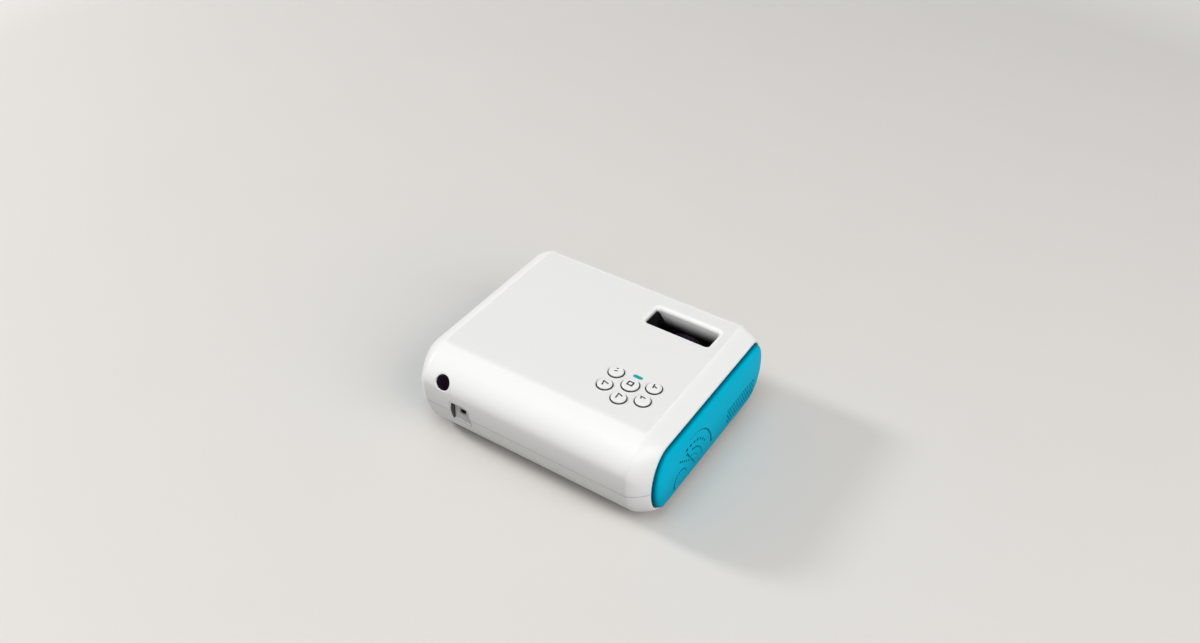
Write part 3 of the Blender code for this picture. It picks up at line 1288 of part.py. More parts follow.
def build_lens(solid):
    """Lens mount, focus ring, sliding barrel with its glass, and the front bezel."""
    axis = (LENS_X, 0, LENS_Z)
    back = -ENGINE_FRONT
    flange_back = back + GAP
    flange_front = flange_back + TUBE_FLANGE_THICK
    shoulder_front = RING_BACK - GAP
    shoulder_back = shoulder_front - SHOULDER_LENGTH
    spigot = back - TUBE_SPIGOT
    tube = [(TUBE_RADIUS, -spigot), (TUBE_RADIUS, -flange_back), (TUBE_FLANGE_RADIUS, -flange_back),
            (TUBE_FLANGE_RADIUS, -flange_front), (TUBE_RADIUS, -flange_front),
            (TUBE_RADIUS, -shoulder_back), (SHOULDER_RADIUS, -shoulder_back),
            (SHOULDER_RADIUS, -shoulder_front), (TUBE_RADIUS, -shoulder_front),
            (TUBE_RADIUS, -TUBE_FRONT), (TUBE_BORE, -TUBE_FRONT), (TUBE_BORE, -spigot)]
    mount = turned("lens_mount", tube, axis, "Y", BLACK, closed=True, sides=LENS_SIDES)
    slot_half = PIN_RADIUS + GAP
    cut(mount, block("pin_slot", (LENS_X - slot_half, -PIN_FRONT - FOCUS_TRAVEL - slot_half,
                                  LENS_Z - TUBE_RADIUS - OVERRUN),
                     (LENS_X + slot_half, -PIN_FRONT + slot_half, LENS_Z - TUBE_BORE + OVERRUN)))

    ribs = []
    for number in range(RING_RIBS * 2):
        for edge in (-1, 1):
            angle = math.radians((number + edge / 3) * 180 / RING_RIBS)
            radius = RING_RADIUS if number % 2 else RING_RADIUS - RING_GROOVE
            ribs.append((radius * math.cos(angle), radius * math.sin(angle)))
    ring = prism("focus_ring", ribs, (LENS_X, -RING_FRONT, LENS_Z), "Y", RING_LENGTH, BLACK)
    bore = TUBE_RADIUS + RUN_GAP
    past, lip_back = RING_LENGTH + OVERRUN, RING_LENGTH - RING_LIP
    track = [(0, past), (bore, past), (bore, lip_back), (RING_TRACK_RADIUS, lip_back),
             (RING_TRACK_RADIUS, RING_LIP), (bore, RING_LIP), (bore, -OVERRUN), (0, -OVERRUN)]
    cut(ring, turned("ring_track", track, (LENS_X, -RING_FRONT, LENS_Z), "Y", sides=LENS_SIDES))
    clip_back, clip_front = RING_FRONT + GAP, RING_FRONT + GAP + CLIP_THICK
    turned("ring_clip", [(CLIP_RADIUS, -clip_back), (CLIP_RADIUS, -clip_front),
                         (TUBE_RADIUS + GAP, -clip_front), (TUBE_RADIUS + GAP, -clip_back)],
           axis, "Y", STEEL, closed=True, sides=LENS_SIDES)

    front, rear = BARREL_FRONT, BARREL_FRONT - BARREL_LENGTH
    seat = BARREL_SEAT_DEPTH
    barrel = turned("lens_barrel",
                    [(BARREL_RADIUS, -rear), (BARREL_RADIUS, -front), (BARREL_SEAT, -front),
                     (BARREL_SEAT, -front + seat), (BARREL_BORE, -front + seat),
                     (BARREL_BORE, -rear - seat), (BARREL_SEAT, -rear - seat), (BARREL_SEAT, -rear)],
                    axis, "Y", BLACK, closed=True, sides=LENS_SIDES)
    rod("follower_pin", (LENS_X, -PIN_FRONT, LENS_Z - BARREL_RADIUS - PIN_REACH), "Z", PIN_RADIUS,
        PIN_REACH - GAP, STEEL, sides=TINY_SIDES)
    for name, level, bulge in (("front_lens", -front + seat - GAP, FRONT_GLASS_BULGE),
                               ("rear_lens", -rear - GAP, REAR_GLASS_BULGE)):
        crown = arc_profile(BARREL_BORE - GAP, bulge, 0) + [(GLASS_RADIUS, 0)]
        lower = [(r, -GLASS_EDGE - h) for r, h in reversed(crown)]
        turned(name, crown + lower, (LENS_X, level, LENS_Z), "Y", GLASS, sides=LENS_SIDES)
    place = -front + seat - GAP - GLASS_EDGE - GAP
    turned("lens_retainer", [(GLASS_RADIUS, place), (GLASS_RADIUS, place - RETAINER_THICK),
                             (RETAINER_INNER, place - RETAINER_THICK), (RETAINER_INNER, place)],
           axis, "Y", BLACK, closed=True, sides=LENS_SIDES)

    bezel = turned("front_bezel",
                   [(BEZEL_RADIUS, -BEZEL_BACK), (BEZEL_RADIUS, FRONT_Y - OVERRUN),
                    (BEZEL_MOUTH + OVERRUN / 4, FRONT_Y - OVERRUN),
                    (BEZEL_THROAT, -BEZEL_BACK - BEZEL_THROAT_LENGTH), (BEZEL_THROAT, -BEZEL_BACK)],
                   axis, "Y", BLACK, closed=True)
    keep_inside(bezel, solid)


def build_cradle():
    """Open-topped cradle under the window, with a slot in each end wall for the lens mount."""
    low = FLOOR_IN + GAP
    high = LENS_Z + RING_RADIUS + COLLAR_CLEARANCE - GAP
    wall = CRADLE_WALL
    cradle = block("lens_cradle", (CRADLE_LEFT, -CRADLE_FRONT, low),
                   (CRADLE_RIGHT, -CRADLE_BACK, high), BLACK)
    cut(cradle, block("cradle_hollow", (CRADLE_LEFT + wall, -CRADLE_FRONT + wall, low + wall),
                      (CRADLE_RIGHT - wall, -CRADLE_BACK - wall, high + OVERRUN)))
    radius = TUBE_RADIUS + GAP
    reach = CRADLE_FRONT - CRADLE_BACK + 2 * OVERRUN
    start = -CRADLE_FRONT - OVERRUN
    cut(cradle, rod("cradle_seat", (LENS_X, start, LENS_Z), "Y", radius, reach, sides=LENS_SIDES))
    cut(cradle, block("cradle_slot", (LENS_X - radius, start, LENS_Z),
                      (LENS_X + radius, start + reach, high + OVERRUN)))


def build_speaker():
    """Speaker behind the swirl: gasket, basket, cone and magnet, and the intake filter."""
    face = (-GASKET_X, SPEAKER_Y, SPEAKER_Z)
    turned("speaker_gasket", [(SPEAKER_RADIUS, GASKET_THICK), (SPEAKER_RADIUS, 0), (GASKET_INNER, 0),
                              (GASKET_INNER, GASKET_THICK)], face, "X", FOAM, closed=True,
           sides=HIDDEN_SIDES)
    low = GASKET_THICK + GAP
    deep = low + BASKET_FLANGE + BASKET_DEPTH
    wall = BASKET_WALL
    basket = [(CONE_THROAT + GAP, deep), (MAGNET_RADIUS, deep), (MAGNET_RADIUS + wall, deep - wall),
              (GASKET_INNER + wall, low + BASKET_FLANGE), (SPEAKER_RADIUS, low + BASKET_FLANGE),
              (SPEAKER_RADIUS, low), (GASKET_INNER, low), (MAGNET_RADIUS, deep - 2 * wall),
              (CONE_THROAT + GAP, deep - 2 * wall)]
    turned("speaker_basket", basket, face, "X", STEEL, closed=True, sides=HIDDEN_SIDES)
    rim = low + CONE_WALL
    throat = rim + CONE_DEPTH
    cone = [(0, throat + CONE_WALL), (CONE_THROAT, throat + CONE_WALL),
            (CONE_EDGE - CONE_WALL, rim + CONE_WALL), (CONE_EDGE, rim + CONE_WALL), (CONE_EDGE, rim),
            (CONE_EDGE - 2 * CONE_WALL, rim), (CONE_THROAT - CONE_WALL, throat), (0, throat - CONE_WALL)]
    turned("speaker_cone", cone, face, "X", PAPER_CONE, sides=HIDDEN_SIDES)
    turned("speaker_magnet", [(0, deep + GAP + MAGNET_DEPTH), (MAGNET_RADIUS, deep + GAP + MAGNET_DEPTH),
                              (MAGNET_RADIUS, deep + GAP), (0, deep + GAP)], face, "X", STEEL,
           sides=HIDDEN_SIDES)

    half_y = VENT_COLUMNS * VENT_PITCH_Y / 2 + FILTER_MARGIN
    half_z = VENT_ROWS * VENT_PITCH_Z / 2
    foam = block("intake_filter", (-GASKET_X, VENT_Y - half_y, VENT_Z - half_z + FILTER_MARGIN),
                 (-GASKET_X + FILTER_THICK, VENT_Y + half_y, VENT_Z + half_z + FILTER_MARGIN), FOAM)
    trim = COVER.inset(COVER_INNER_INSET + COVER_THICK + FILTER_MARGIN / 2)
    keep_inside(foam, loft("filter_trim", [trim.ring(-GASKET_X - OVERRUN),
                                           trim.ring(-GASKET_X + FILTER_THICK + OVERRUN)]))


def build_underside():
    """Rubber feet, tilt foot, tripod insert and the four case screws."""
    for name, x, y in foot_places():
        high = FOOT_STAND + FOOT_SINK - GAP
        profile = [(0, high), (FOOT_RADIUS, high), (FOOT_RADIUS, FOOT_DISH), (FOOT_RADIUS - FOOT_DISH, 0),
                   (FOOT_RADIUS / 2, 0), (FOOT_RADIUS / 2 - FOOT_DISH, FOOT_DISH), (0, FOOT_DISH)]
        turned(name, profile, (x, y, 0), "Z", RUBBER, sides=SMALL_SIDES)
    pad_top = TILT_PAD_REST + TILT_PAD_THICK
    edge = TILT_PAD_THICK / 3
    tilt = [(0, pad_top + TILT_STEM), (TILT_STEM_RADIUS, pad_top + TILT_STEM),
            (TILT_STEM_RADIUS, pad_top), (TILT_PAD_RADIUS, pad_top),
            (TILT_PAD_RADIUS, TILT_PAD_REST + edge),
            (TILT_PAD_RADIUS - edge, TILT_PAD_REST), (0, TILT_PAD_REST)]
    turned("tilt_foot", tilt, (TILT_X, TILT_Y, 0), "Z", BLACK, sides=SMALL_SIDES)
    insert = [(INSERT_RADIUS, INSERT_DEPTH), (INSERT_RADIUS, 0), (INSERT_BORE, 0),
              (INSERT_BORE, INSERT_DEPTH)]
    turned("tripod_insert", insert, (INSERT_X, INSERT_Y, FLOOR_OUT), "Z", BRASS, closed=True,
           sides=SMALL_SIDES)
    low, tip = screw_low(), SCREW_HEAD_THICK + SCREW_LENGTH
    half, arm = SCREW_SLOT / 2, SCREW_HEAD_RADIUS / 2
    for place, x, y in post_places():
        profile = [(0, tip), (SCREW_RADIUS, tip - SCREW_RADIUS), (SCREW_RADIUS, SCREW_HEAD_THICK),
                   (SCREW_HEAD_RADIUS, SCREW_HEAD_THICK), (SCREW_HEAD_RADIUS, SCREW_SLOT),
                   (SCREW_HEAD_RADIUS - SCREW_SLOT, 0), (0, 0)]
        screw = turned("case_screw_" + place, profile, (x, y, low), "Z", STEEL, sides=TINY_SIDES)
        cut(screw, block("screw_slot_" + place, (x - half, y - arm, low - OVERRUN),
                         (x + half, y + arm, low + SCREW_SLOT)))


def build_projector():
    """Build every piece in the order in which the projector is put together."""
    solid, hollow, bezel_hole, inlet_hole = case_tools()
    build_lower_shell(solid, hollow, bezel_hole, inlet_hole)
    build_engine()
    build_cooling()
    build_cradle()
    build_lens(solid)
    build_main_board()
    build_inlet(solid)
    build_speaker()
    build_upper_shell(solid, hollow, bezel_hole, inlet_hole)
    build_keypad()
    build_infrared()
    build_left_cover()
    build_right_cover()
    build_underside()
    bpy.context.view_layer.update()


build_projector()
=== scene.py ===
"""Mini projector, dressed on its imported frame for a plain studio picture.

Each sub-assembly is a class: its fields are the sizes of the real thing in metres, and its methods
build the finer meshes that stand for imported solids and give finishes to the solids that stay.
"""
import logging
import math
from dataclasses import dataclass, fields
from enum import Enum
from typing import Callable, Iterable, Optional, Sequence

import bmesh
import bpy
from mathutils import Matrix, Vector


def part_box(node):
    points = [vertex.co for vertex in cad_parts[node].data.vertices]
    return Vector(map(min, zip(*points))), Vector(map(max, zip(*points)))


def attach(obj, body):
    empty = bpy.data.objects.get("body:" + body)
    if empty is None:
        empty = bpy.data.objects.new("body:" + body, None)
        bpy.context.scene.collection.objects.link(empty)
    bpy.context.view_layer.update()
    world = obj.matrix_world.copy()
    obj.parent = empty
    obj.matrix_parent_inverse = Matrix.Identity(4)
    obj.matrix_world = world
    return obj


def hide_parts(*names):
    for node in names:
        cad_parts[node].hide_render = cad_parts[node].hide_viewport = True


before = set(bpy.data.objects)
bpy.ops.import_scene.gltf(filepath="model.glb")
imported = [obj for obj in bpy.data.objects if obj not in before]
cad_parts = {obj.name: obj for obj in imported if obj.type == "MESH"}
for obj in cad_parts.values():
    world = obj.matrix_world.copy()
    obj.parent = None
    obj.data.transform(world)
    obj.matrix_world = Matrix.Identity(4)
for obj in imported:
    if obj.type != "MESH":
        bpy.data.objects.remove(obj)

LOG = logging.getLogger("mini_projector")
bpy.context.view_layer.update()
Point = tuple[float, float, float]
Flat = tuple[float, float]
Profile = tuple[Flat, ...]
Thread = tuple[int, float, Flat, Flat]
Rows = tuple[tuple[float, ...], ...]
Piece = bpy.types.Object
Node = bpy.types.Node
Tree = bpy.types.NodeTree
Socket = bpy.types.NodeSocket
Value = float | tuple | Vector | Socket


class Axis(Enum):
    """World axis that a turned or drawn piece stands along."""

    X = (0.0, math.pi / 2)
    Y = (-math.pi / 2, 0.0)
    Z = (0.0, 0.0)

    def at(self, base: Point) -> Matrix:
        """Matrix that puts a local Z axis on this axis."""
        turn = Matrix.Rotation(self.value[1], 4, "Y") @ Matrix.Rotation(self.value[0], 4, "X")
        return Matrix.Translation(base) @ turn


class Side(Enum):
    """End of the case, by the sign of its X."""

    SOUND = -1
    EXHAUST = 1


class Symbol(Enum):
    """Generic mark on a key, as strokes about its middle."""

    ENTER = (((-0.8, -0.7), (0.8, -0.7), (0.8, 0.75), (-0.8, 0.75), (-0.8, -0.7)),)
    CORNER = (((-0.22, -1.3), (-0.72, 0.67), (1.45, 0.1)),)
    TALL_CORNER = (((-0.5, -1.1), (-0.7, 1.3), (1.1, 0.65)),)
    SMALL_CORNER = (((-0.85, 0.0), (-1.2, 1.1), (0.55, 0.9)),)
    BRANCH = (((-0.1, -0.78), (-0.35, 0.4), (-0.58, 1.4)), ((-0.35, 0.4), (1.1, -0.15)))
    PAIR = (((-0.45, 0.95), (0.2, 1.25)), ((-0.5, -0.45), (0.0, -0.3), (0.6, 0.0)))


@dataclass(frozen=True)
class Outline:
    """Closed outline in a plane across the case, with an elliptic arc at each corner."""

    front: float
    back: float
    low: float
    high: float
    front_waist: float
    back_waist: float
    front_top_run: float
    front_low_run: float
    back_top_run: float
    back_low_run: float

    def inset(self, depth: float) -> "Outline":
        """Outline drawn in on every side."""
        return Outline(self.front + depth, self.back - depth, self.low + depth, self.high - depth,
                       self.front_waist, self.back_waist, self.front_top_run - depth,
                       self.front_low_run - depth, self.back_top_run - depth,
                       self.back_low_run - depth)

    def toward(self, other: "Outline", share: float) -> "Outline":
        """Outline part of the way to another one."""
        return Outline(*[getattr(self, item.name) * (1 - share) + getattr(other, item.name) * share
                         for item in fields(self)])

    def ring(self, x: float, steps: int = 18) -> list[Point]:
        """Points of the outline in the plane at x.

        Args:
            x: Place of the plane.
            steps: Steps of each corner's arc.

        Returns:
            The points, from the back waist over the roof.
        """
        corners = ((self.back, -self.back_top_run, self.back_waist, self.high, False),
                   (self.front, self.front_top_run, self.front_waist, self.high, True),
                   (self.front, self.front_low_run, self.front_waist, self.low, False),
                   (self.back, -self.back_low_run, self.back_waist, self.low, True))
        points: list[Point] = []
        for number, (edge, run, waist, level, falling) in enumerate(corners):
            for step in range(steps + 1):
                if number == 2 and step == 0 or number == 3 and step == steps:
                    continue
                angle = (steps - step if falling else step) / steps * math.pi / 2
                points.append((x, edge + run * (1 - math.cos(angle)),
                               waist + (level - waist) * math.sin(angle)))
        return points


@dataclass(frozen=True)
class CaseForm:
    """Sizes of the closed case, and its outline at any place along X."""

    stand: float = 0.0025
    depth: float = 0.1781
    height: float = 0.0698
    flat_half: float = 0.0852
    rim_half: float = 0.098
    wall: float = 0.0024
    gap: float = 0.0003
    split: float = 0.0336
    crease: float = 0.0011
    crown_share: float = 0.5
    rim_lip: float = 0.0016
    ledge_width: float = 0.0026
    groove: float = 0.0008

    @property
    def middle(self) -> Outline:
        """Outline over the flat stretch."""
        half = self.depth / 2
        return Outline(-half, half, self.stand, self.roof, 0.0339, 0.0498,
                       0.0198, 0.022, 0.032, 0.0251)

    @property
    def rim(self) -> Outline:
        """Outline at each end."""
        half = self.depth / 2
        return Outline(0.0037 - half, half - 0.0121, self.stand + 0.0045, self.roof - 0.0087,
                       0.0347, 0.0354, 0.0153, 0.0218, 0.0194, 0.016)

    @property
    def recess(self) -> Outline:
        """Outline inside the white lip at each end."""
        return self.rim.inset(self.rim_lip)

    @property
    def ledge(self) -> Outline:
        """Outline inside the ledge that an end cover sits on."""
        return self.recess.inset(self.ledge_width)

    @property
    def cover(self) -> Outline:
        """Outline of an end cover's skirt."""
        return self.recess.inset(self.groove)

    @property
    def roof(self) -> float:
        """Height of the flat roof."""
        return self.stand + self.height

    def at(self, x: float) -> Outline:
        """Outline of the case at x, with the crease before each end eased.

        Args:
            x: Place along the case.

        Returns:
            The outline there.
        """
        past = abs(x) - self.flat_half
        if past <= -self.crease:
            return self.middle
        if past < self.crease:
            past = (past + self.crease) ** 2 / (4 * self.crease)
        share = past / (self.rim_half - self.flat_half)
        crown = self.crown_share
        return self.middle.toward(self.rim, share * (1 - crown) + share * share * crown)

    def on_back(self, rise: float) -> tuple[float, float]:
        """Back wall over the flat stretch at a height.

        Args:
            rise: Height above the floor.

        Returns:
            The wall's y, and how far it faces up, in radians, below 0 where it faces down.
        """
        form = self.middle
        above = rise > form.back_waist
        level, run = (form.high, form.back_top_run) if above else (form.low, form.back_low_run)
        share = (rise - form.back_waist) / (level - form.back_waist)
        cosine = math.sqrt(1 - share * share)
        lean = math.atan2(run * share, abs(level - form.back_waist) * cosine)
        return form.back - run * (1 - cosine), lean if above else -lean


FORM = CaseForm()


def rounded_rectangle(width: float, height: float, radius: float, steps: int = 7) -> list[Flat]:
    """Corner-rounded rectangle about the origin.

    Args:
        width: Size along the first axis.
        height: Size along the second axis.
        radius: Radius of the corners.
        steps: Steps of each corner.

    Returns:
        Points of the outline.
    """
    points: list[Flat] = []
    for number, (sign_u, sign_v) in enumerate(((1, 1), (-1, 1), (-1, -1), (1, -1))):
        for step in range(steps + 1):
            angle = (number + step / steps) * math.pi / 2
            points.append((sign_u * (width / 2 - radius) + radius * math.cos(angle),
                           sign_v * (height / 2 - radius) + radius * math.sin(angle)))
    return points


def round_outline(radius: float, sides: int = 64) -> list[Flat]:
    """Circle about the origin."""
    turns = [2 * math.pi * side / sides for side in range(sides)]
    return [(radius * math.cos(turn), radius * math.sin(turn)) for turn in turns]


def in_steps(first: float, last: float, count: int) -> list[float]:
    """Evenly stepped values."""
    return [first + (last - first) * number / (count - 1) for number in range(count)]


def quarter(outward: float, drop: float, steps: int = 6) -> list[Flat]:
    """Rounded edge of a mouth.

    Args:
        outward: How far it widens the mouth.
        drop: How deep it goes.
        steps: Steps of the rounding.

    Returns:
        (more, depth) pairs, from one that stands clear above the face down to the straight wall.
    """
    pairs = [(outward + drop / 4, -outward - drop / 2)]
    for step in range(steps + 1):
        angle = math.pi / 2 * step / steps
        pairs.append((outward * (1 - math.sin(angle)), drop * (1 - math.cos(angle))))
    return pairs


def lens_crown(radius: float, bulge: float, steps: int = 10) -> list[Flat]:
    """Crown of a lens.

    Args:
        radius: Radius of its edge.
        bulge: Height at its middle.
        steps: Steps from middle to edge.

    Returns:
        (radius, height) points from the middle out.
    """
    sphere = (radius * radius + bulge * bulge) / (2 * bulge)
    reach = [radius * step / steps for step in range(steps + 1)]
    return [(out, math.sqrt(sphere * sphere - out ** 2) - sphere + bulge) for out in reach]


def softened(profile: Sequence[Flat], radius: float, steps: int = 3,
             closed: bool = False) -> list[Flat]:
    """Profile with its corners rounded.

    Args:
        profile: The (radius, height) points.
        radius: Most that a corner is cut back along each side.
        steps: Steps of each rounding.
        closed: The profile is a loop.

    Returns:
        The rounded profile.
    """
    points = [Vector(point) for point in profile]
    made: list[Flat] = []
    for index, point in enumerate(points):
        before, after = points[index - 1] - point, points[(index + 1) % len(points)] - point
        if not closed and index in (0, len(points) - 1):
            made.append(tuple(point))
            continue
        reach = min(radius, before.length * 0.45, after.length * 0.45)
        start, end = point + before.normalized() * reach, point + after.normalized() * reach
        for share in in_steps(0, 1, steps + 1):
            made.append(tuple(start.lerp(point, share).lerp(point.lerp(end, share), share)))
    return made


def band(outer: float, inner: float, first: float, last: float, edge: float) -> list[Flat]:
    """Section of a flat ring between two heights, with rounded edges."""
    return softened([(outer, first), (outer, last), (inner, last), (inner, first)], edge,
                    closed=True)


def thread(turns: int, pitch: float, crest: Flat, root: Flat) -> list[Flat]:
    """Profile of a thread, from the (radius, height) of its first crest and root."""
    return [(radius, level + turn * pitch) for turn in range(turns)
            for radius, level in (crest, root)]


@dataclass(frozen=True)
class Dome:
    """Crowned top of a key, and how thick a mark on it is."""

    top: float
    radius: float
    fall: float
    thick: float = 0.00004

    def height(self, radius: float) -> float:
        """Height of the dome at a radius."""
        return self.top - self.fall * (radius / self.radius) ** 2


def mesh(name: str, builder: bmesh.types.BMesh, place: Optional[Matrix] = None) -> Piece:
    """Object from a bmesh, with its place written into the mesh.

    Args:
        name: Name of the object.
        builder: Its faces, freed here.
        place: Matrix to apply, if any.

    Returns:
        The new object.
    """
    if place is not None:
        bmesh.ops.transform(builder, matrix=place, verts=builder.verts)
    bmesh.ops.recalc_face_normals(builder, faces=builder.faces)
    data = bpy.data.meshes.new(name)
    builder.to_mesh(data)
    builder.free()
    made = bpy.data.objects.new(name, data)
    bpy.context.scene.collection.objects.link(made)
    return made


def loft(name: str, rings: Sequence[Sequence[Point]], closed: bool = False,
         place: Optional[Matrix] = None) -> Piece:
    """Skin through rings of equally many points.

    Args:
        name: Name of the object.
        rings: The rings, in order.
        closed: Join the last ring to the first instead of capping both.
        place: Matrix to apply, if any.

    Returns:
        The skinned object.
    """
    builder = bmesh.new()
    rows = [[builder.verts.new(point) for point in ring] for ring in rings]
    for row, following in zip(rows, rows[1:] + rows[:1] if closed else rows[1:]):
        for index, vertex in enumerate(row):
            after = (index + 1) % len(row)
            builder.faces.new((vertex, row[after], following[after], following[index]))
    if not closed:
        builder.faces.new(rows[0])
        builder.faces.new(rows[-1])
    return mesh(name, builder, place)


def lathe(name: str, profile: Sequence[Flat], place: Matrix, sides: int = 64) -> Piece:
    """Turned piece from (radius, height) points.

    Args:
        name: Name of the object.
        profile: The points, from pole to pole, or a loop that starts clear of the axis.
        place: Where its axis goes.
        sides: Steps round the axis.

    Returns:
        The turned object.
    """
    builder = bmesh.new()
    rows = []
    for radius, height in profile:
        turns = round_outline(radius, sides) if radius > 0 else [(0.0, 0.0)]
        rows.append([builder.verts.new((u, v, height)) for u, v in turns])
    for row, following in zip(rows, rows[1:] + rows[:1] if profile[0][0] > 0 else rows[1:]):
        for side in range(sides):
            after = (side + 1) % sides
            corners = dict.fromkeys((row[side % len(row)], row[after % len(row)],
                                     following[after % len(following)],
                                     following[side % len(following)]))
            if len(corners) > 2:
                builder.faces.new(list(corners))
    return mesh(name, builder, place)


def rod(place: Matrix, radius: float, length: float, sides: int = 32) -> Piece:
    """Plain cylinder for joining or cutting."""
    return lathe("rod", [(0, length), (radius, length), (radius, 0), (0, 0)], place, sides)


def prism(name: str, outline: Sequence[Flat], length: float, place: Matrix,
          edge: float = 0.0) -> Piece:
    """Flat outline drawn out along its local Z.

    Args:
        name: Name of the object.
        outline: Points of the flat outline, about the origin where its edges are rounded.
        length: How far it is drawn.
        place: Where its axis goes.
        edge: Rounding of the edges round both flat ends.

    Returns:
        The drawn object.
    """
    reach_u, reach_v = max(u for u, _ in outline), max(v for _, v in outline)
    turns = in_steps(0, math.pi / 2, 4) if edge else [0.0]
    near = [(edge * (1 - math.sin(turn)), edge * (1 - math.cos(turn))) for turn in turns]
    levels = [(depth, less) for less, depth in near]
    levels += [(length - depth, less) for less, depth in reversed(near)]
    rings = [[(u * (1 - less / reach_u), v * (1 - less / reach_v), level) for u, v in outline]
             for level, less in levels]
    return loft(name, rings, place=place)


def mouth(outline: Sequence[Flat], length: float, place: Matrix, lip: Flat,
          skin: Optional[Callable[[float, float], float]] = None) -> Piece:
    """Cutter for a hole with a rounded edge, drawn down its local Z.

    Args:
        outline: Outline of the hole, about the origin.
        length: How deep the hole goes below the place.
        place: Where the face and the axis go.
        lip: How far the rounding widens the hole, and how deep it goes.
        skin: Height of the face over the place at any (u, v), if it isn't flat.

    Returns:
        The cutter.
    """
    rings = []
    for more, depth in quarter(*lip):
        ring = []
        for index, point in enumerate(outline):
            ahead = Vector(outline[(index + 1) % len(outline)]) - Vector(outline[index - 1])
            normal = Vector((ahead.y, -ahead.x)).normalized()
            u, v = point[0] + normal.x * more, point[1] + normal.y * more
            ring.append((u, v, (skin(u, v) if skin else 0.0) - depth))
        rings.append(ring)
    rings.append([(u, v, -length) for u, v in outline])
    return loft("mouth", rings, place=place)


def box(low: Point, high: Point) -> Piece:
    """Box between two corners, for joining or cutting."""
    corners = ((low[0], low[1]), (high[0], low[1]), (high[0], high[1]), (low[0], high[1]))
    return loft("box", [[(x, y, z) for x, y in corners] for z in (low[2], high[2])])


def gather(pieces: Iterable[Piece], name: str = "parts") -> Piece:
    """One object from several that don't touch.

    Args:
        pieces: The objects, removed here.
        name: Name of the object.

    Returns:
        The joined object.
    """
    builder = bmesh.new()
    for piece in list(pieces):
        builder.from_mesh(piece.data)
        bpy.data.objects.remove(piece, do_unlink=True)
    return mesh(name, builder)


def carve(target: Piece, tool: Piece, operation: str = "DIFFERENCE") -> Piece:
    """Cut, join or keep by another solid, which is then removed.

    Args:
        target: The object to change.
        tool: The other solid.
        operation: Name of the boolean operation.

    Returns:
        The changed object.
    """
    step = target.modifiers.new(tool.name, "BOOLEAN")
    step.operation = operation
    step.solver = "EXACT"
    step.object = tool
    bpy.context.view_layer.update()
    graph = bpy.context.evaluated_depsgraph_get()
    data = bpy.data.meshes.new_from_object(target.evaluated_get(graph), depsgraph=graph)
    target.modifiers.clear()
    target.data = data
    bpy.data.objects.remove(tool, do_unlink=True)
    return target


def ease(made: Piece, level: float, width: float) -> Piece:
    """Bevel the real edges that lie at one height.

    Args:
        made: The piece.
        level: Height of the edges.
        width: Width of the bevel.

    Returns:
        The same piece.
    """
    builder = bmesh.new()
    builder.from_mesh(made.data)
    near = width / 20
    picked = [edge for edge in builder.edges
              if all(abs(vertex.co.z - level) < near for vertex in edge.verts)
              and len(edge.link_faces) == 2 and edge.calc_face_angle() > 0.5]
    bmesh.ops.bevel(builder, geom=picked, offset=width, segments=2, profile=0.5,
                    affect="EDGES", clamp_overlap=True)
    builder.to_mesh(made.data)
    builder.free()
    return made


def sections(stroke: Sequence[Flat], width: float) -> list[tuple[Vector, Vector]]:
    """Left and right points along a stroke, mitred at its corners.

    Args:
        stroke: Its corners; one that ends where it starts is a loop.
        width: Its width.

    Returns:
        The pairs of points.
    """
    corners = [Vector(point) for point in stroke]
    loop = (corners[0] - corners[-1]).length < width / 10
    if loop:
        corners.pop()
    made = []
    for index, corner in enumerate(corners):
        ways = []
        if loop or index > 0:
            ways.append((corner - corners[index - 1]).normalized())
        if loop or index < len(corners) - 1:
            ways.append((corners[(index + 1) % len(corners)] - corner).normalized())
        along = sum(ways, Vector((0, 0))).normalized()
        across = Vector((-along.y, along.x)) * (width / 2 / along.dot(ways[0]))
        made.append((corner - across, corner + across))
        if loop or index < len(corners) - 1:
            following = corners[(index + 1) % len(corners)]
            side = Vector((-ways[-1].y, ways[-1].x)) * width / 2
            made += [(corner.lerp(following, share) - side, corner.lerp(following, share) + side)
                     for share in (0.35, 0.5, 0.65)]
    return made + made[:1] if loop else made


def ribbon(name: str, strokes: Sequence[Sequence[Flat]], width: float, dome: Dome,
           place: Matrix) -> Piece:
    """Thin raised strokes that follow a dome.

    Args:
        name: Name of the object.
        strokes: Corners of each stroke.
        width: Width of a stroke.
        dome: The dome that they lie on.
        place: Where the dome's axis goes.

    Returns:
        The strokes as one object.
    """
    builder = bmesh.new()
    for stroke in strokes:
        pairs = sections(stroke, width)
        loop = pairs[0] == pairs[-1]
        rows = []
        for left, right in pairs[:-1] if loop else pairs:
            corners = ((left, dome.thick), (right, dome.thick), (right, -dome.thick),
                       (left, -dome.thick))
            rows.append([builder.verts.new((point.x, point.y, dome.height(point.length) + rise))
                         for point, rise in corners])
        for row, following in zip(rows, rows[1:] + rows[:1] if loop else rows[1:]):
            for index in range(4):
                after = (index + 1) % 4
                builder.faces.new((row[index], row[after], following[after], following[index]))
        if not loop:
            builder.faces.new(rows[0])
            builder.faces.new(rows[-1])
    return mesh(name, builder, place)


def issue(made: Piece, finish: "Finish", *stands_for: str, body: str = "root",
          angle: float = 32.0) -> Piece:
    """Shade a piece smooth, give it its finish and put it on its body.

    Args:
        made: The piece.
        finish: What it is made of.
        stands_for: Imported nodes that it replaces.
        body: The body that it rides on.
        angle: Least angle between faces that stays sharp, in degrees.

    Returns:
        The same piece.
    """
    made.data.shade_smooth()
    made.data.set_sharp_from_angle(angle=math.radians(angle))
    made.modifiers.new("level", "WEIGHTED_NORMAL").keep_sharp = True
    made.data.materials.clear()
    made.data.materials.append(finish.material())
    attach(made, body)
    if stands_for:
        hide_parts(*stands_for)
    LOG.info("piece %s on %s in %s", made.name, body, finish.name)
    return made


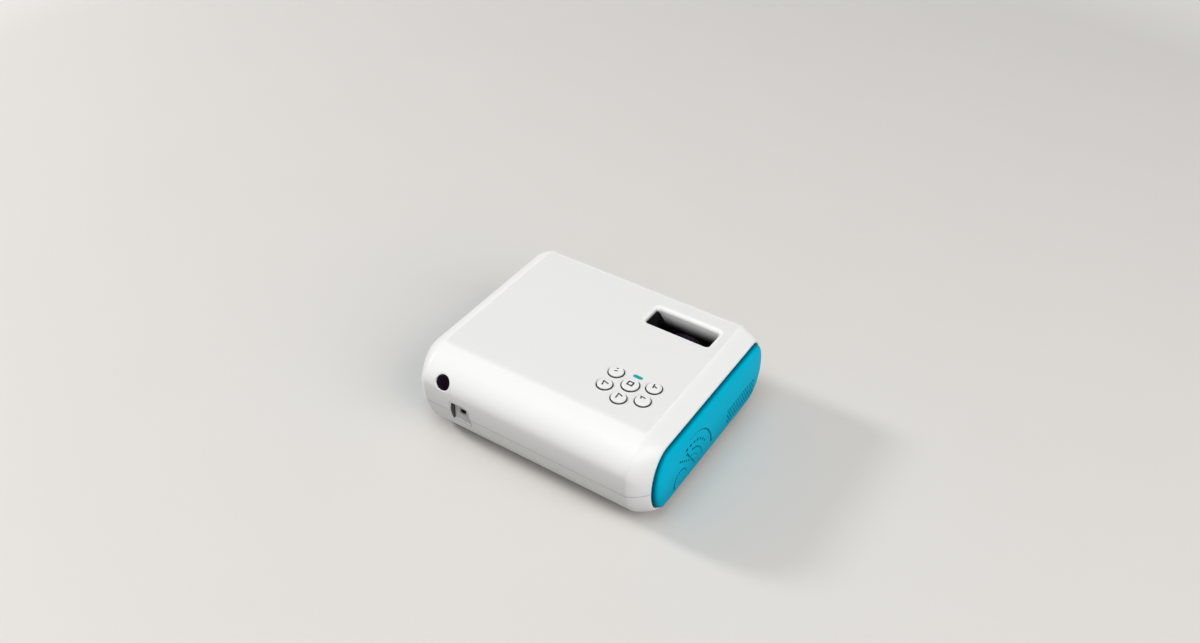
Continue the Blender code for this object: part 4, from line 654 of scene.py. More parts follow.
def dress(finish: "Finish", *names: str) -> None:
    """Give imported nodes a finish.

    Args:
        finish: What they are made of.
        names: The nodes.
    """
    for name in names:
        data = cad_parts[name].data
        data.materials.clear()
        data.materials.append(finish.material())
        LOG.info("node %s in %s", name, finish.name)


class Kit:
    """Short way to lay shader nodes in a tree."""

    def __init__(self, tree: Tree) -> None:
        """Keep the tree that the nodes go into."""
        self.tree = tree

    def add(self, kind: str, **settings: object) -> Node:
        """Add a node.

        Args:
            kind: Node type without its ShaderNode prefix.
            settings: Values; a capital starts a socket's name, a small letter a property's.

        Returns:
            The node.
        """
        node = self.tree.nodes.new("ShaderNode" + kind)
        for key, value in settings.items():
            if key[0].islower():
                setattr(node, key, value)
        for key, value in settings.items():
            if key[0].isupper():
                self.plug(value, node.inputs[key.replace("_", " ")])
        return node

    def plug(self, value: Value, socket: Socket) -> None:
        """Link or write a value into a socket.

        Args:
            value: Socket, number or colour.
            socket: Where it goes.
        """
        if isinstance(value, Socket):
            self.tree.links.new(value, socket)
        else:
            socket.default_value = value

    def feed(self, **values: Value) -> None:
        """Link or write values into the material's Principled shader, each by its socket's name."""
        for key, value in values.items():
            self.plug(value, self.tree.nodes["Principled BSDF"].inputs[key.replace("_", " ")])

    def math(self, operation: str, first: Value, second: Value = 0.0, kind: str = "Math",
             output: int | str = 0) -> Socket:
        """Add a math node.

        Args:
            operation: Its operation.
            first: Socket, number or vector.
            second: Socket, number or vector.
            kind: Math or VectorMath.
            output: Which of its outputs is wanted.

        Returns:
            That output.
        """
        node = self.add(kind, operation=operation)
        self.plug(first, node.inputs[0])
        self.plug(second, node.inputs[1])
        return node.outputs[output]

    def vector(self, operation: str, first: Value, second: Value = (0.0, 0.0, 0.0)) -> Socket:
        """Add a vector math node, and give its vector."""
        return self.math(operation, first, second, "VectorMath")

    def along(self, first: Value, second: Value) -> Socket:
        """Dot product of two vectors."""
        return self.math("DOT_PRODUCT", first, second, "VectorMath", "Value")

    def swing(self, value: Value, amount: Value) -> Socket:
        """Value from 0 to 1, turned into a swing about 0 of this amount."""
        return self.math("MULTIPLY", self.math("SUBTRACT", value, 0.5), amount)

    def mix(self, share: Value, first: Value, second: Value) -> Socket:
        """Mix two colours.

        Args:
            share: How much of the second.
            first: Colour at 0.
            second: Colour at 1.

        Returns:
            The mixed colour.
        """
        node = self.add("Mix", data_type="RGBA")
        for value, index in ((share, 0), (first, 6), (second, 7)):
            self.plug(value, node.inputs[index])
        return node.outputs[2]

    def noise(self, scale: Value, detail: float, place: Optional[Value] = None) -> Socket:
        """Noise from 0 to 1 over the piece, or over other coordinates."""
        place = self.own() if place is None else place
        return self.add("TexNoise", Vector=place, Scale=scale, Detail=detail).outputs["Fac"]

    def ramp(self, value: Value, start: Value, end: Value) -> Socket:
        """Smooth step of a value from start to end."""
        return self.add("MapRange", interpolation_type="SMOOTHSTEP", Value=value, From_Min=start,
                        From_Max=end).outputs["Result"]

    def looked_at(self) -> Socket:
        """1 where the camera sees the surface, itself or in a mirror or glass.

        Returns:
            The mask.
        """
        ray = self.add("LightPath").outputs
        mirrored = self.math("MAXIMUM", ray["Is Glossy Ray"], ray["Is Transmission Ray"])
        return self.math("MAXIMUM", ray["Is Camera Ray"], mirrored)

    def own(self) -> Socket:
        """Coordinates that lie still on the piece."""
        return self.add("TexCoord").outputs["Object"]

    def facing(self) -> Socket:
        """Which way the piece's own surface looks."""
        return self.add("TexCoord").outputs["Normal"]

    def upward(self) -> Socket:
        """How far the piece's own surface looks up."""
        return self.add("SeparateXYZ", Vector=self.facing()).outputs["Z"]


class Effects:
    """Node groups that several finishes share, each built once."""

    @staticmethod
    def group(name: str, inputs: dict[str, float | tuple], outputs: dict[str, float | tuple]
              ) -> tuple[Tree, Optional[Kit], object, object]:
        """Find or start a node group.

        Args:
            name: Its name.
            inputs: Default of each input: a number, a vector of three or a colour of four.
            outputs: The same for each output.

        Returns:
            The group; a kit to fill it with, or None if it is full; its inner inputs and outputs.
        """
        found = bpy.data.node_groups.get(name)
        if found is not None:
            return found, None, {}, {}
        tree = bpy.data.node_groups.new(name, "ShaderNodeTree")
        for way, sockets in (("INPUT", inputs), ("OUTPUT", outputs)):
            for label, default in sockets.items():
                kinds = {3: "Vector", 4: "Color"}
                kind = "Float" if isinstance(default, float) else kinds[len(default)]
                socket = tree.interface.new_socket(label, in_out=way,
                                                   socket_type="NodeSocket" + kind)
                socket.default_value = default
        given, result = tree.nodes.new("NodeGroupInput"), tree.nodes.new("NodeGroupOutput")
        return tree, Kit(tree), given.outputs, result.inputs

    @staticmethod
    def grain() -> Tree:
        """Fine moulded grain, as a height and a roughness that vary over the surface.

        Returns:
            The group.
        """
        tree, kit, given, result = Effects.group(
            "moulded_grain", {"Scale": 2600.0, "Roughness": 0.4, "Spread": 0.05},
            {"Height": 0.0, "Roughness": 0.0})
        if kit:
            fine = kit.noise(given["Scale"], 3.0)
            pits = kit.add("TexVoronoi", Vector=kit.own(),
                           Scale=kit.math("MULTIPLY", given["Scale"], 0.6))
            swing = kit.swing(kit.noise(22.0, 4.0), given["Spread"])
            kit.plug(kit.math("ADD", fine, pits.outputs["Distance"]), result["Height"])
            kit.plug(kit.math("ADD", given["Roughness"], swing), result["Roughness"])
        return tree

    @staticmethod
    def tone() -> Tree:
        """Faint unevenness of colour, with a little dust on faces that look up.

        Returns:
            The group.
        """
        tree, kit, given, result = Effects.group(
            "surface_tone", {"Colour": (0.8, 0.8, 0.8, 1.0), "Dust": (0.5, 0.47, 0.43, 1.0),
                             "Amount": 0.03, "Settled": 0.02}, {"Colour": (0.8, 0.8, 0.8, 1.0)})
        if kit:
            shift = kit.swing(kit.noise(14.0, 5.0), given["Amount"])
            value = kit.add("HueSaturation", Color=given["Colour"],
                            Value=kit.math("ADD", shift, 1.0))
            lying = kit.math("MULTIPLY", kit.math("MAXIMUM", kit.upward(), 0.0),
                             kit.noise(420.0, 2.0))
            share = kit.math("MULTIPLY", lying, given["Settled"])
            kit.plug(kit.mix(share, value.outputs["Color"], given["Dust"]), result["Colour"])
        return tree

    @staticmethod
    def painted_shade_field() -> Tree:
        """Mask of painted shade, which grows with the depth inside a box on the piece, and on the
        walls of its holes.

        Returns:
            The group.
        """
        tree, kit, given, result = Effects.group(
            "painted_shade_field", {"Middle": (0.0, 0.0, 0.0), "Half": (1.0, 1.0, 1.0),
                           "Way": (0.0, 0.0, 1.0), "Start": 0.0, "End": 1.0, "Walls": 0.0},
            {"Mask": 0.0})
        if kit:
            place = kit.own()
            off = kit.vector("ABSOLUTE", kit.vector("SUBTRACT", place, given["Middle"]))
            past = kit.add("SeparateXYZ", Vector=kit.vector("SUBTRACT", off, given["Half"])).outputs
            most = kit.math("MAXIMUM", past["X"], kit.math("MAXIMUM", past["Y"], past["Z"]))
            deep = kit.ramp(kit.along(place, given["Way"]), given["Start"], given["End"])
            across = kit.math("ABSOLUTE", kit.along(kit.facing(), given["Way"]))
            dark = kit.math("MAXIMUM", deep, kit.math("LESS_THAN", across, given["Walls"]))
            kit.plug(kit.math("MULTIPLY", dark, kit.math("LESS_THAN", most, 0.0)), result["Mask"])
        return tree

    @staticmethod
    def drawn_lines() -> Tree:
        """Fine drawn or turned lines of metal.

        Returns:
            The group.
        """
        tree, kit, given, result = Effects.group(
            "drawn_lines", {"Stretch": (1.0, 1.0, 30.0), "Scale": 60.0}, {"Height": 0.0})
        if kit:
            drawn = kit.vector("MULTIPLY", kit.own(), given["Stretch"])
            kit.plug(kit.noise(given["Scale"], 6.0, drawn), result["Height"])
        return tree


@dataclass(frozen=True)
class PaintedShade:
    """Painted shade on a piece, where little light gets in: a box, and the way in."""

    low: Point
    high: Point
    way: Point
    start: float
    end: float
    # Colour of the painted shade at its darkest.
    colour: Point = (0.012, 0.012, 0.013)
    walls: float = 0.0

    def shaded(self, kit: Kit, colour: Value) -> Socket:
        """Colour with painted shade that turns darker on the way in.

        Args:
            kit: The material's nodes.
            colour: Colour or socket outside.

        Returns:
            The mixed colour.
        """
        low, high = Vector(self.low), Vector(self.high)
        mask = kit.add("Group", node_tree=Effects.painted_shade_field(), Middle=(low + high) / 2,
                       Half=(high - low) / 2, Way=self.way, Start=self.start, End=self.end,
                       Walls=self.walls).outputs["Mask"]
        return kit.mix(mask, colour, (*self.colour, 1))


@dataclass(frozen=True)
class Finish:
    """What a piece is made of; base of every finish."""

    name: str
    slot: str
    colour: Point
    roughness: float = 0.4
    metallic: float = 0.0
    grain: float = 2600.0
    depth: float = 0.00002
    strength: float = 0.25
    spread: float = 0.08
    uneven: float = 0.03
    dust: float = 0.03
    shine: float = 0.5
    # Painted shade in the piece's hollows.
    painted_shades: tuple[PaintedShade, ...] = ()

    def material(self) -> bpy.types.Material:
        """Material of this finish, made on first use.

        Returns:
            The material.
        """
        found = bpy.data.materials.get(self.name)
        if found is not None:
            return found
        made = bpy.data.materials.new(self.name)
        made.use_nodes = True
        kit = Kit(made.node_tree)
        kit.feed(Metallic=self.metallic, Specular_IOR_Level=self.shine)
        self.lay(kit)
        return made

    def lay(self, kit: Kit) -> None:
        """Lay the nodes that drive the surface."""
        grain = self.grained(kit, self.roughness)
        kit.feed(Base_Color=self.toned(kit, (*self.colour, 1)), Roughness=grain["Roughness"],
                 Normal=self.raised(kit, grain["Height"]))

    def toned(self, kit: Kit, colour: Value) -> Socket:
        """Colour with the tone group and the painted shade of its hollows over it.

        Args:
            kit: The material's nodes.
            colour: Colour or socket.

        Returns:
            The toned colour.
        """
        shade = kit.add("Group", node_tree=Effects.tone(), Colour=colour, Amount=self.uneven,
                        Settled=self.dust).outputs["Colour"]
        for shade_patch in self.painted_shades:
            shade = shade_patch.shaded(kit, shade)
        return shade

    def grained(self, kit: Kit, roughness: Value) -> bpy.types.NodeOutputs:
        """Outputs of the grain group about a roughness."""
        return kit.add("Group", node_tree=Effects.grain(), Scale=self.grain, Roughness=roughness,
                       Spread=self.spread).outputs

    def raised(self, kit: Kit, height: Socket) -> Socket:
        """Normal bent by a height."""
        bump = kit.add("Bump", Strength=self.strength, Distance=self.depth, Height=height)
        return bump.outputs["Normal"]


@dataclass(frozen=True)
class ShellFinish(Finish):
    """White shell: matte roof and smoother curved bands, with a painted highlight that makes the
    bands' colour lighter than the roof's.
    """

    # Lighter colour of the curved bands: a painted highlight.
    band_painted_highlight: Point = (0.92, 0.92, 0.91)
    band_roughness: float = 0.3
    band_relief: float = 0.25
    flat_from: float = 0.985
    flat_to: float = 0.9995

    def lay(self, kit: Kit) -> None:
        """Mix roof and band values by the mask of the flat roof; the bands' lighter colour is a
        painted highlight.

        Args:
            kit: The material's nodes.
        """
        mask = kit.ramp(kit.upward(), self.flat_from, self.flat_to)
        shade = kit.mix(mask, (*self.band_painted_highlight, 1), (*self.colour, 1))
        step = kit.math("MULTIPLY", mask, self.roughness - self.band_roughness)
        grain = self.grained(kit, kit.math("ADD", step, self.band_roughness))
        share = kit.math("ADD", kit.math("MULTIPLY", mask, 1 - self.band_relief), self.band_relief)
        kit.feed(Base_Color=self.toned(kit, shade), Roughness=grain["Roughness"],
                 Normal=self.raised(kit, kit.math("MULTIPLY", grain["Height"], share)))


@dataclass(frozen=True)
class MetalFinish(Finish):
    """Drawn or turned metal."""

    metallic: float = 1.0
    stretch: Point = (1.0, 1.0, 30.0)
    lines: float = 60.0
    spread: float = 0.2

    def lay(self, kit: Kit) -> None:
        """Lines steer the roughness and the bump."""
        lines = kit.add("Group", node_tree=Effects.drawn_lines(), Stretch=self.stretch,
                        Scale=self.lines).outputs["Height"]
        kit.feed(Base_Color=self.toned(kit, (*self.colour, 1)), Normal=self.raised(kit, lines),
                 Roughness=kit.math("ADD", kit.swing(lines, self.spread), self.roughness))


@dataclass(frozen=True)
class GlassFinish(Finish):
    """Clear glass, with or without a thin coating."""

    index: float = 1.5
    film: float = 0.0

    def lay(self, kit: Kit) -> None:
        """Plain transmission, with a faint smear in the roughness."""
        kit.feed(Base_Color=(*self.colour, 1), Transmission_Weight=1.0, IOR=self.index,
                 Thin_Film_Thickness=self.film,
                 Roughness=self.grained(kit, self.roughness)["Roughness"])


@dataclass(frozen=True)
class BoardFinish(Finish):
    """Circuit board with tracks under its mask."""

    track_colour: Point = (0.05, 0.3, 0.12)
    track_scale: float = 260.0
    track_width: float = 0.12

    def lay(self, kit: Kit) -> None:
        """Cell borders make tracks, and a bump raises them.

        Args:
            kit: The material's nodes.
        """
        cells = kit.add("TexVoronoi", feature="DISTANCE_TO_EDGE", Vector=kit.own(),
                        Scale=self.track_scale)
        tracks = kit.math("LESS_THAN", cells.outputs["Distance"], self.track_width)
        shade = kit.mix(tracks, (*self.colour, 1), (*self.track_colour, 1))
        kit.feed(Base_Color=self.toned(kit, shade), Normal=self.raised(kit, tracks),
                 Roughness=self.grained(kit, self.roughness)["Roughness"])


@dataclass(frozen=True)
class LightFinish(Finish):
    """Lit plastic of the status light."""

    glow: float = 0.3

    def lay(self, kit: Kit) -> None:
        """Tone drives both the base colour and the glow."""
        shade = self.toned(kit, (*self.colour, 1))
        kit.feed(Base_Color=shade, Emission_Color=shade, Emission_Strength=self.glow,
                 Roughness=self.grained(kit, self.roughness)["Roughness"])


INWARD, FORWARD = (0.0, 0.0, -1.0), (0.0, -1.0, 0.0)
EAST, WEST = (1.0, 0.0, 0.0), (-1.0, 0.0, 0.0)
FAR_LOW, FAR_HIGH = (-1.0, -1.0, -1.0), (1.0, 1.0, 1.0)
WINDOW_BOX = ((-0.0785, -0.0602, 0.05), (-0.0205, -0.0356, 0.0712))
# Way across the painted shadow that the window's rim casts on its far wall.
WINDOW_SHADOW_WAY = (0.807, 0.0, -0.591)
# Band along the parting seam, which gets a grey line of painted shade.
PARTING = (FORM.split - 0.00025, FORM.split + 0.00025)
RIM = -FORM.rim_half
# Colours of painted shade on the blue covers' skirts and on the walls of their holes.
SKIRT_PAINTED_SHADE, HOLE_PAINTED_SHADE = (0.0, 0.13, 0.2), (0.0, 0.01, 0.015)
# Painted shade on the shell: darker deep inside the window, a painted shadow of the window's rim
# across its far wall, darker on the walls of the key holes, and a grey line along the parting seam.
SHELL = ShellFinish(
    "shell_white", "white_shell", (0.815, 0.812, 0.803), roughness=0.5, grain=3200.0,
    strength=0.35, uneven=0.015, dust=0.015, painted_shades=(
        PaintedShade(*WINDOW_BOX, INWARD, 0.0022 - FORM.roof, 0.0135 - FORM.roof),
        PaintedShade(*WINDOW_BOX, WINDOW_SHADOW_WAY, -0.0606, -0.0592),
        PaintedShade((-0.075, 0.008, 0.06), (-0.028, 0.052, 0.08), INWARD, 0.0001 - FORM.roof,
               0.0007 - FORM.roof),
        PaintedShade((-1.0, -1.0, PARTING[0]), (1.0, 1.0, PARTING[1]), INWARD, -1.0, -0.9,
               (0.5, 0.5, 0.5))))
# Painted shade in the inlet recess: greyer deeper in, and one side wall nearly black.
CUP = Finish(
    "recess_white_painted_shade", "white_shell", (0.84, 0.84, 0.83), roughness=0.42, grain=3200.0, painted_shades=(
        PaintedShade((0.04, 0.07, 0.0), (0.07, 0.1, 0.06), FORWARD, -0.0885, -0.0872, (0.68, 0.68, 0.68)),
        PaintedShade((0.0614, 0.07, 0.0), (0.0627, 0.1, 0.06), FORWARD, -0.0886, -0.0878,
               (0.05, 0.05, 0.056))))
# Painted shade on the blue covers: darker towards the bottom of the face, darker on the skirts by
# the rim, and nearly black on the walls of the swirl, intake and slot holes.
BLUE = Finish(
    "cover_blue", "blue_cover", (0.0, 0.57, 0.83), roughness=0.45, grain=3000.0, strength=0.22,
    dust=0.0, shine=0.012, painted_shades=(
        PaintedShade(FAR_LOW, FAR_HIGH, INWARD, -0.044, -0.008, (0.0, 0.38, 0.57)),
        PaintedShade(FAR_LOW, (0.0, 1.0, 1.0), EAST, RIM - 0.0043, RIM - 0.0004, SKIRT_PAINTED_SHADE),
        PaintedShade((0.0, -1.0, -1.0), FAR_HIGH, WEST, RIM - 0.0043, RIM - 0.0004, SKIRT_PAINTED_SHADE),
        PaintedShade((-1.0, -0.07, 0.0165), (0.0, 0.052, 0.0525), EAST, RIM - 0.0041, RIM - 0.0038,
               HOLE_PAINTED_SHADE, 0.5),
        PaintedShade((0.0, -0.0158, 0.0205), (1.0, 0.0258, 0.0552), WEST, RIM - 0.004, RIM - 0.0036,
               HOLE_PAINTED_SHADE, 0.5)))
# Painted shade on the keys: darker on their sides towards the roof, where they sink into their
# holes.
KEY = Finish(
    "key_white", "white_keys", (0.85, 0.85, 0.84), roughness=0.28, grain=2400.0, strength=0.1,
    uneven=0.015, dust=0.01, painted_shades=(
        PaintedShade((-1.0, -1.0, 0.0), FAR_HIGH, INWARD, -0.0012 - FORM.roof, 0.0002 - FORM.roof),))
INK = Finish("key_ink", "black_plastic", (0.008, 0.008, 0.012), roughness=0.6, grain=5000.0)
LIGHT = LightFinish("light_teal", "status_light", (0.0, 0.33, 0.345), roughness=0.3, dust=0.0,
                    shine=0.03)
INFRARED = Finish("infrared_black", "infrared_window", (0.006, 0.002, 0.007), roughness=0.3,
                  strength=0.02, spread=0.03, dust=0.0, shine=0.03)
BLACK = Finish("moulded_black", "black_plastic", (0.016, 0.016, 0.018), roughness=0.42,
               grain=2800.0, strength=0.4, uneven=0.15, dust=0.04)
# Near-black plastic; its faint purple tint is a painted reflection.
RING_BLACK = Finish("ring_black", "black_plastic", (0.014, 0.009, 0.02), roughness=0.26,
                    strength=0.1, uneven=0.1, dust=0.02)
RUBBER = Finish("foot_rubber", "black_rubber", (0.022, 0.022, 0.022), roughness=0.82, grain=1500.0,
                strength=0.6, uneven=0.2, dust=0.1)
LENS_GLASS = GlassFinish("lens_glass", "optical_glass", (0.93, 0.9, 1.0), roughness=0.03,
                         spread=0.02, film=320.0, index=1.52)
PLATE_GLASS = GlassFinish("plate_glass", "optical_glass", (0.86, 0.9, 0.9), roughness=0.06,
                          spread=0.03, index=1.49)
MIRROR = MetalFinish("mirror_silver", "silvered_mirror", (0.9, 0.9, 0.92), roughness=0.04,
                     spread=0.02, strength=0.01)
ALUMINIUM = MetalFinish("sink_aluminium", "heat_sink_aluminium", (0.74, 0.75, 0.77), roughness=0.34,
                        stretch=(1.0, 30.0, 1.0))
STEEL = MetalFinish("zinc_plate", "zinc_steel", (0.62, 0.62, 0.63), roughness=0.28,
                    stretch=(30.0, 1.0, 1.0))
BRASS = MetalFinish("turned_brass", "brass_insert", (0.74, 0.55, 0.27), roughness=0.26)
BOARD = BoardFinish("board_green", "circuit_board", (0.012, 0.12, 0.045), roughness=0.35,
                    depth=0.00004)
SILICONE = Finish("mat_silicone", "grey_silicone", (0.45, 0.46, 0.47), roughness=0.7)
FOAM = Finish("filter_foam", "grey_foam", (0.05, 0.05, 0.055), roughness=0.9, grain=900.0,
              depth=0.0004, strength=1.0, uneven=0.4)
CONE = Finish("cone_paper", "speaker_cone", (0.04, 0.04, 0.04), roughness=0.85, grain=700.0,
              depth=0.0002, strength=0.8, uneven=0.3)


@dataclass
class Case:
    """White case in two shells, with the window collar and what carries the inside."""

    form: CaseForm = FORM
    rim_round: float = 0.0005
    end_wall: float = 0.003
    ledge_depth: float = 0.004
    ledge_thick: float = 0.0025
    window: Flat = (-0.0495, -0.0479)
    window_size: Flat = (0.053, 0.0195)
    window_corner: float = 0.0025
    window_edge: Flat = (0.0035, 0.003)
    collar_wall: float = 0.002
    collar_low: float = 0.0583
    posts: Profile = ((-0.082, -0.066), (0.082, -0.066), (-0.064, 0.058), (0.064, 0.058))
    post_radius: float = 0.0036
    post_split: float = 0.034
    bore: float = 0.0017
    bore_top: float = 0.0358
    pegs: Profile = ((-0.0724, 0.01615), (-0.0302, 0.01615), (-0.0724, 0.04675), (-0.0302, 0.04675))
    peg_low: float = 0.0648
    peg_radius: float = 0.002
    standoffs: Profile = ((-0.006, 0.0395), (-0.006, 0.065), (0.078, 0.0395), (0.078, 0.065))
    standoff_radius: float = 0.003
    standoff_top: float = 0.0273
    saddle: tuple[Point, Point] = ((-0.08425, 0.009, 0.0), (-0.08175, 0.039, 0.033))
    saddle_hollow: Point = (-0.086, 0.024, 0.0367)
    saddle_bore: Flat = (0.0113, 0.006)
    rails: Rows = (
        (-0.0393, -0.0116, -0.0377, 0.0226, 0.0077), (0.0172, -0.0116, 0.0188, 0.0226, 0.0077),
        (0.0422, -0.0125, 0.0865, -0.0109, 0.0132), (0.0422, 0.0209, 0.0865, 0.0225, 0.0132))
    bosses: Rows = ((0.01, -0.0395, 0.0067, 0.0136),
                                             (0.01, -0.0575, 0.0049, 0.02))
    notch: Flat = (0.076, 0.016)
    notch_size: Flat = (0.0045, 0.0018)
    notch_lip: Flat = (0.0002, 0.0002)

    def tube(self, name: str) -> Piece:
        """Whole case as one wall, folded in at both ends.

        Args:
            name: Name of the object.

        Returns:
            The closed wall.
        """
        form, edge = self.form, self.rim_round
        places = [form.flat_half + form.crease * share for share in (-1, -0.5, 0, 0.5)]
        places += in_steps(form.flat_half + form.crease, form.rim_half - edge, 9)
        outer = [(x, form.at(x)) for x in places]
        for angle in in_steps(0, math.pi / 2, 4)[1:]:
            outer.append((form.rim_half - edge + edge * math.sin(angle),
                          form.rim.inset(edge * (1 - math.cos(angle)))))
        out_x = form.rim_half - self.ledge_depth
        in_x = out_x - self.ledge_thick
        inner = [(form.rim_half, form.recess.inset(-edge / 2)),
                 (form.rim_half - edge / 2, form.recess), (out_x, form.recess), (out_x, form.ledge),
                 (in_x, form.ledge), (in_x, form.at(in_x).inset(self.end_wall)),
                 (form.flat_half, form.middle.inset(form.wall))]
        rings = [outline.ring(-x) for x, outline in reversed(outer)]
        rings += [outline.ring(x) for x, outline in outer + inner]
        rings += [outline.ring(-x) for x, outline in reversed(inner)]
        return loft(name, rings, closed=True)

    @staticmethod
    def rods(places: Sequence[Flat], radius: float, low: float, high: float) -> list[Piece]:
        """Upright rods at several places."""
        return [rod(Axis.Z.at((x, y, low)), radius, high - low) for x, y in places]

    def window_rings(self, more: float, levels: Sequence[Flat]) -> list[list[Point]]:
        """Rings of the window at several heights.

        Args:
            more: How far all of them stand outside the window.
            levels: (height, further out) of each ring.

        Returns:
            The rings.
        """
        length, width = self.window_size
        x, y = self.window
        rings = []
        for z, out in levels:
            outline = rounded_rectangle(length + 2 * (more + out), width + 2 * (more + out),
                                        self.window_corner + more + out, 8)
            rings.append([(x + u, y + v, z) for u, v in outline])
        return rings

    def build_upper(self, holes: Sequence[Piece]) -> None:
        """Upper shell.

        Args:
            holes: Cutters of what looks out of it, removed here.
        """
        form = self.form
        shell = self.tube("upper_case")
        level = form.split + form.gap / 2
        inside = form.roof - form.wall / 2
        carve(shell, box((-1, -1, -1), (1, 1, level)))
        ease(shell, level, form.gap / 2)
        collar = self.window_rings(self.collar_wall, ((self.collar_low, 0), (inside, 0)))
        fixtures = [loft("collar", collar)]
        fixtures += self.rods(self.posts, self.post_radius, self.post_split + form.gap / 2, inside)
        fixtures += self.rods(self.pegs, self.peg_radius, self.peg_low, inside)
        carve(shell, gather(fixtures), "UNION")
        levels = [(form.roof - depth, more) for more, depth in quarter(*self.window_edge, 9)]
        window = loft("window", self.window_rings(0, levels + [(self.collar_low - form.wall, 0)]))
        bores = self.rods(self.posts, self.bore, self.post_split - form.wall, self.bore_top)
        carve(shell, gather([window, *bores, *holes]))
        issue(shell, SHELL, "upper_shell")

    def build_lower(self, holes: Sequence[Piece]) -> None:
        """Lower shell.

        Args:
            holes: Cutters of what goes into it, removed here.
        """
        form = self.form
        shell = self.tube("lower_case")
        level = form.split - form.gap / 2
        root = form.stand + form.wall / 2
        carve(shell, box((-1, -1, level), (1, 1, 1)))
        ease(shell, level, form.gap / 2)
        low, high = self.saddle
        saddle = box((*low[:2], root), high)
        carve(saddle, rod(Axis.X.at(self.saddle_hollow), *self.saddle_bore))
        fixtures = [saddle]
        fixtures += [box((x, y, root), (end_x, end_y, top))
                     for x, y, end_x, end_y, top in self.rails]
        fixtures += self.rods(self.posts, self.post_radius, root, self.post_split - form.gap / 2)
        fixtures += self.rods(self.standoffs, self.standoff_radius, root, self.standoff_top)
        for x, y, radius, top in self.bosses:
            fixtures += self.rods([(x, y)], radius, root, top)
        carve(shell, gather(fixtures), "UNION")
        carve(shell, gather([self.notch_cutter(), *holes]))
        issue(shell, SHELL, "lower_shell")

    def notch_cutter(self) -> Piece:
        """Cutter of the short slot low on the back.

        Returns:
            The cutter.
        """
        x, rise = self.notch
        y, lean = self.form.on_back(rise)
        place = Matrix.Translation((x, y, rise)) @ Matrix.Rotation(lean - math.pi / 2, 4, "X")
        outline = rounded_rectangle(*self.notch_size, self.notch_size[1] / 3, 4)
        return mouth(outline, self.form.wall / 2, place, self.notch_lip)


# Skin of each cover, from its flat face to its foot: (out from the rim, in from the outline).
COVER_SKINS: dict[Side, Profile] = {
    Side.SOUND: (
        (0.0044, 0.0125), (0.00437, 0.0095), (0.0043, 0.0070), (0.00412, 0.0046), (0.0039, 0.0032),
        (0.0036, 0.0022), (0.0032, 0.00145), (0.0026, 0.0009), (0.0018, 0.0005), (0.0011, 0.00025),
        (0.0006, 0.00008), (0.0, 0.0), (-0.0006, 0.0)),
    Side.EXHAUST: (
        (0.0044, 0.0100), (0.0044, 0.0088), (0.00437, 0.0076), (0.00425, 0.0065),
        (0.00375, 0.00415), (0.0036, 0.0037), (0.00342, 0.0033), (0.0018, 0.00092),
        (0.0015, 0.00058), (0.0011, 0.00028), (0.0006, 0.00008), (0.0, 0.0), (-0.0006, 0.0))}


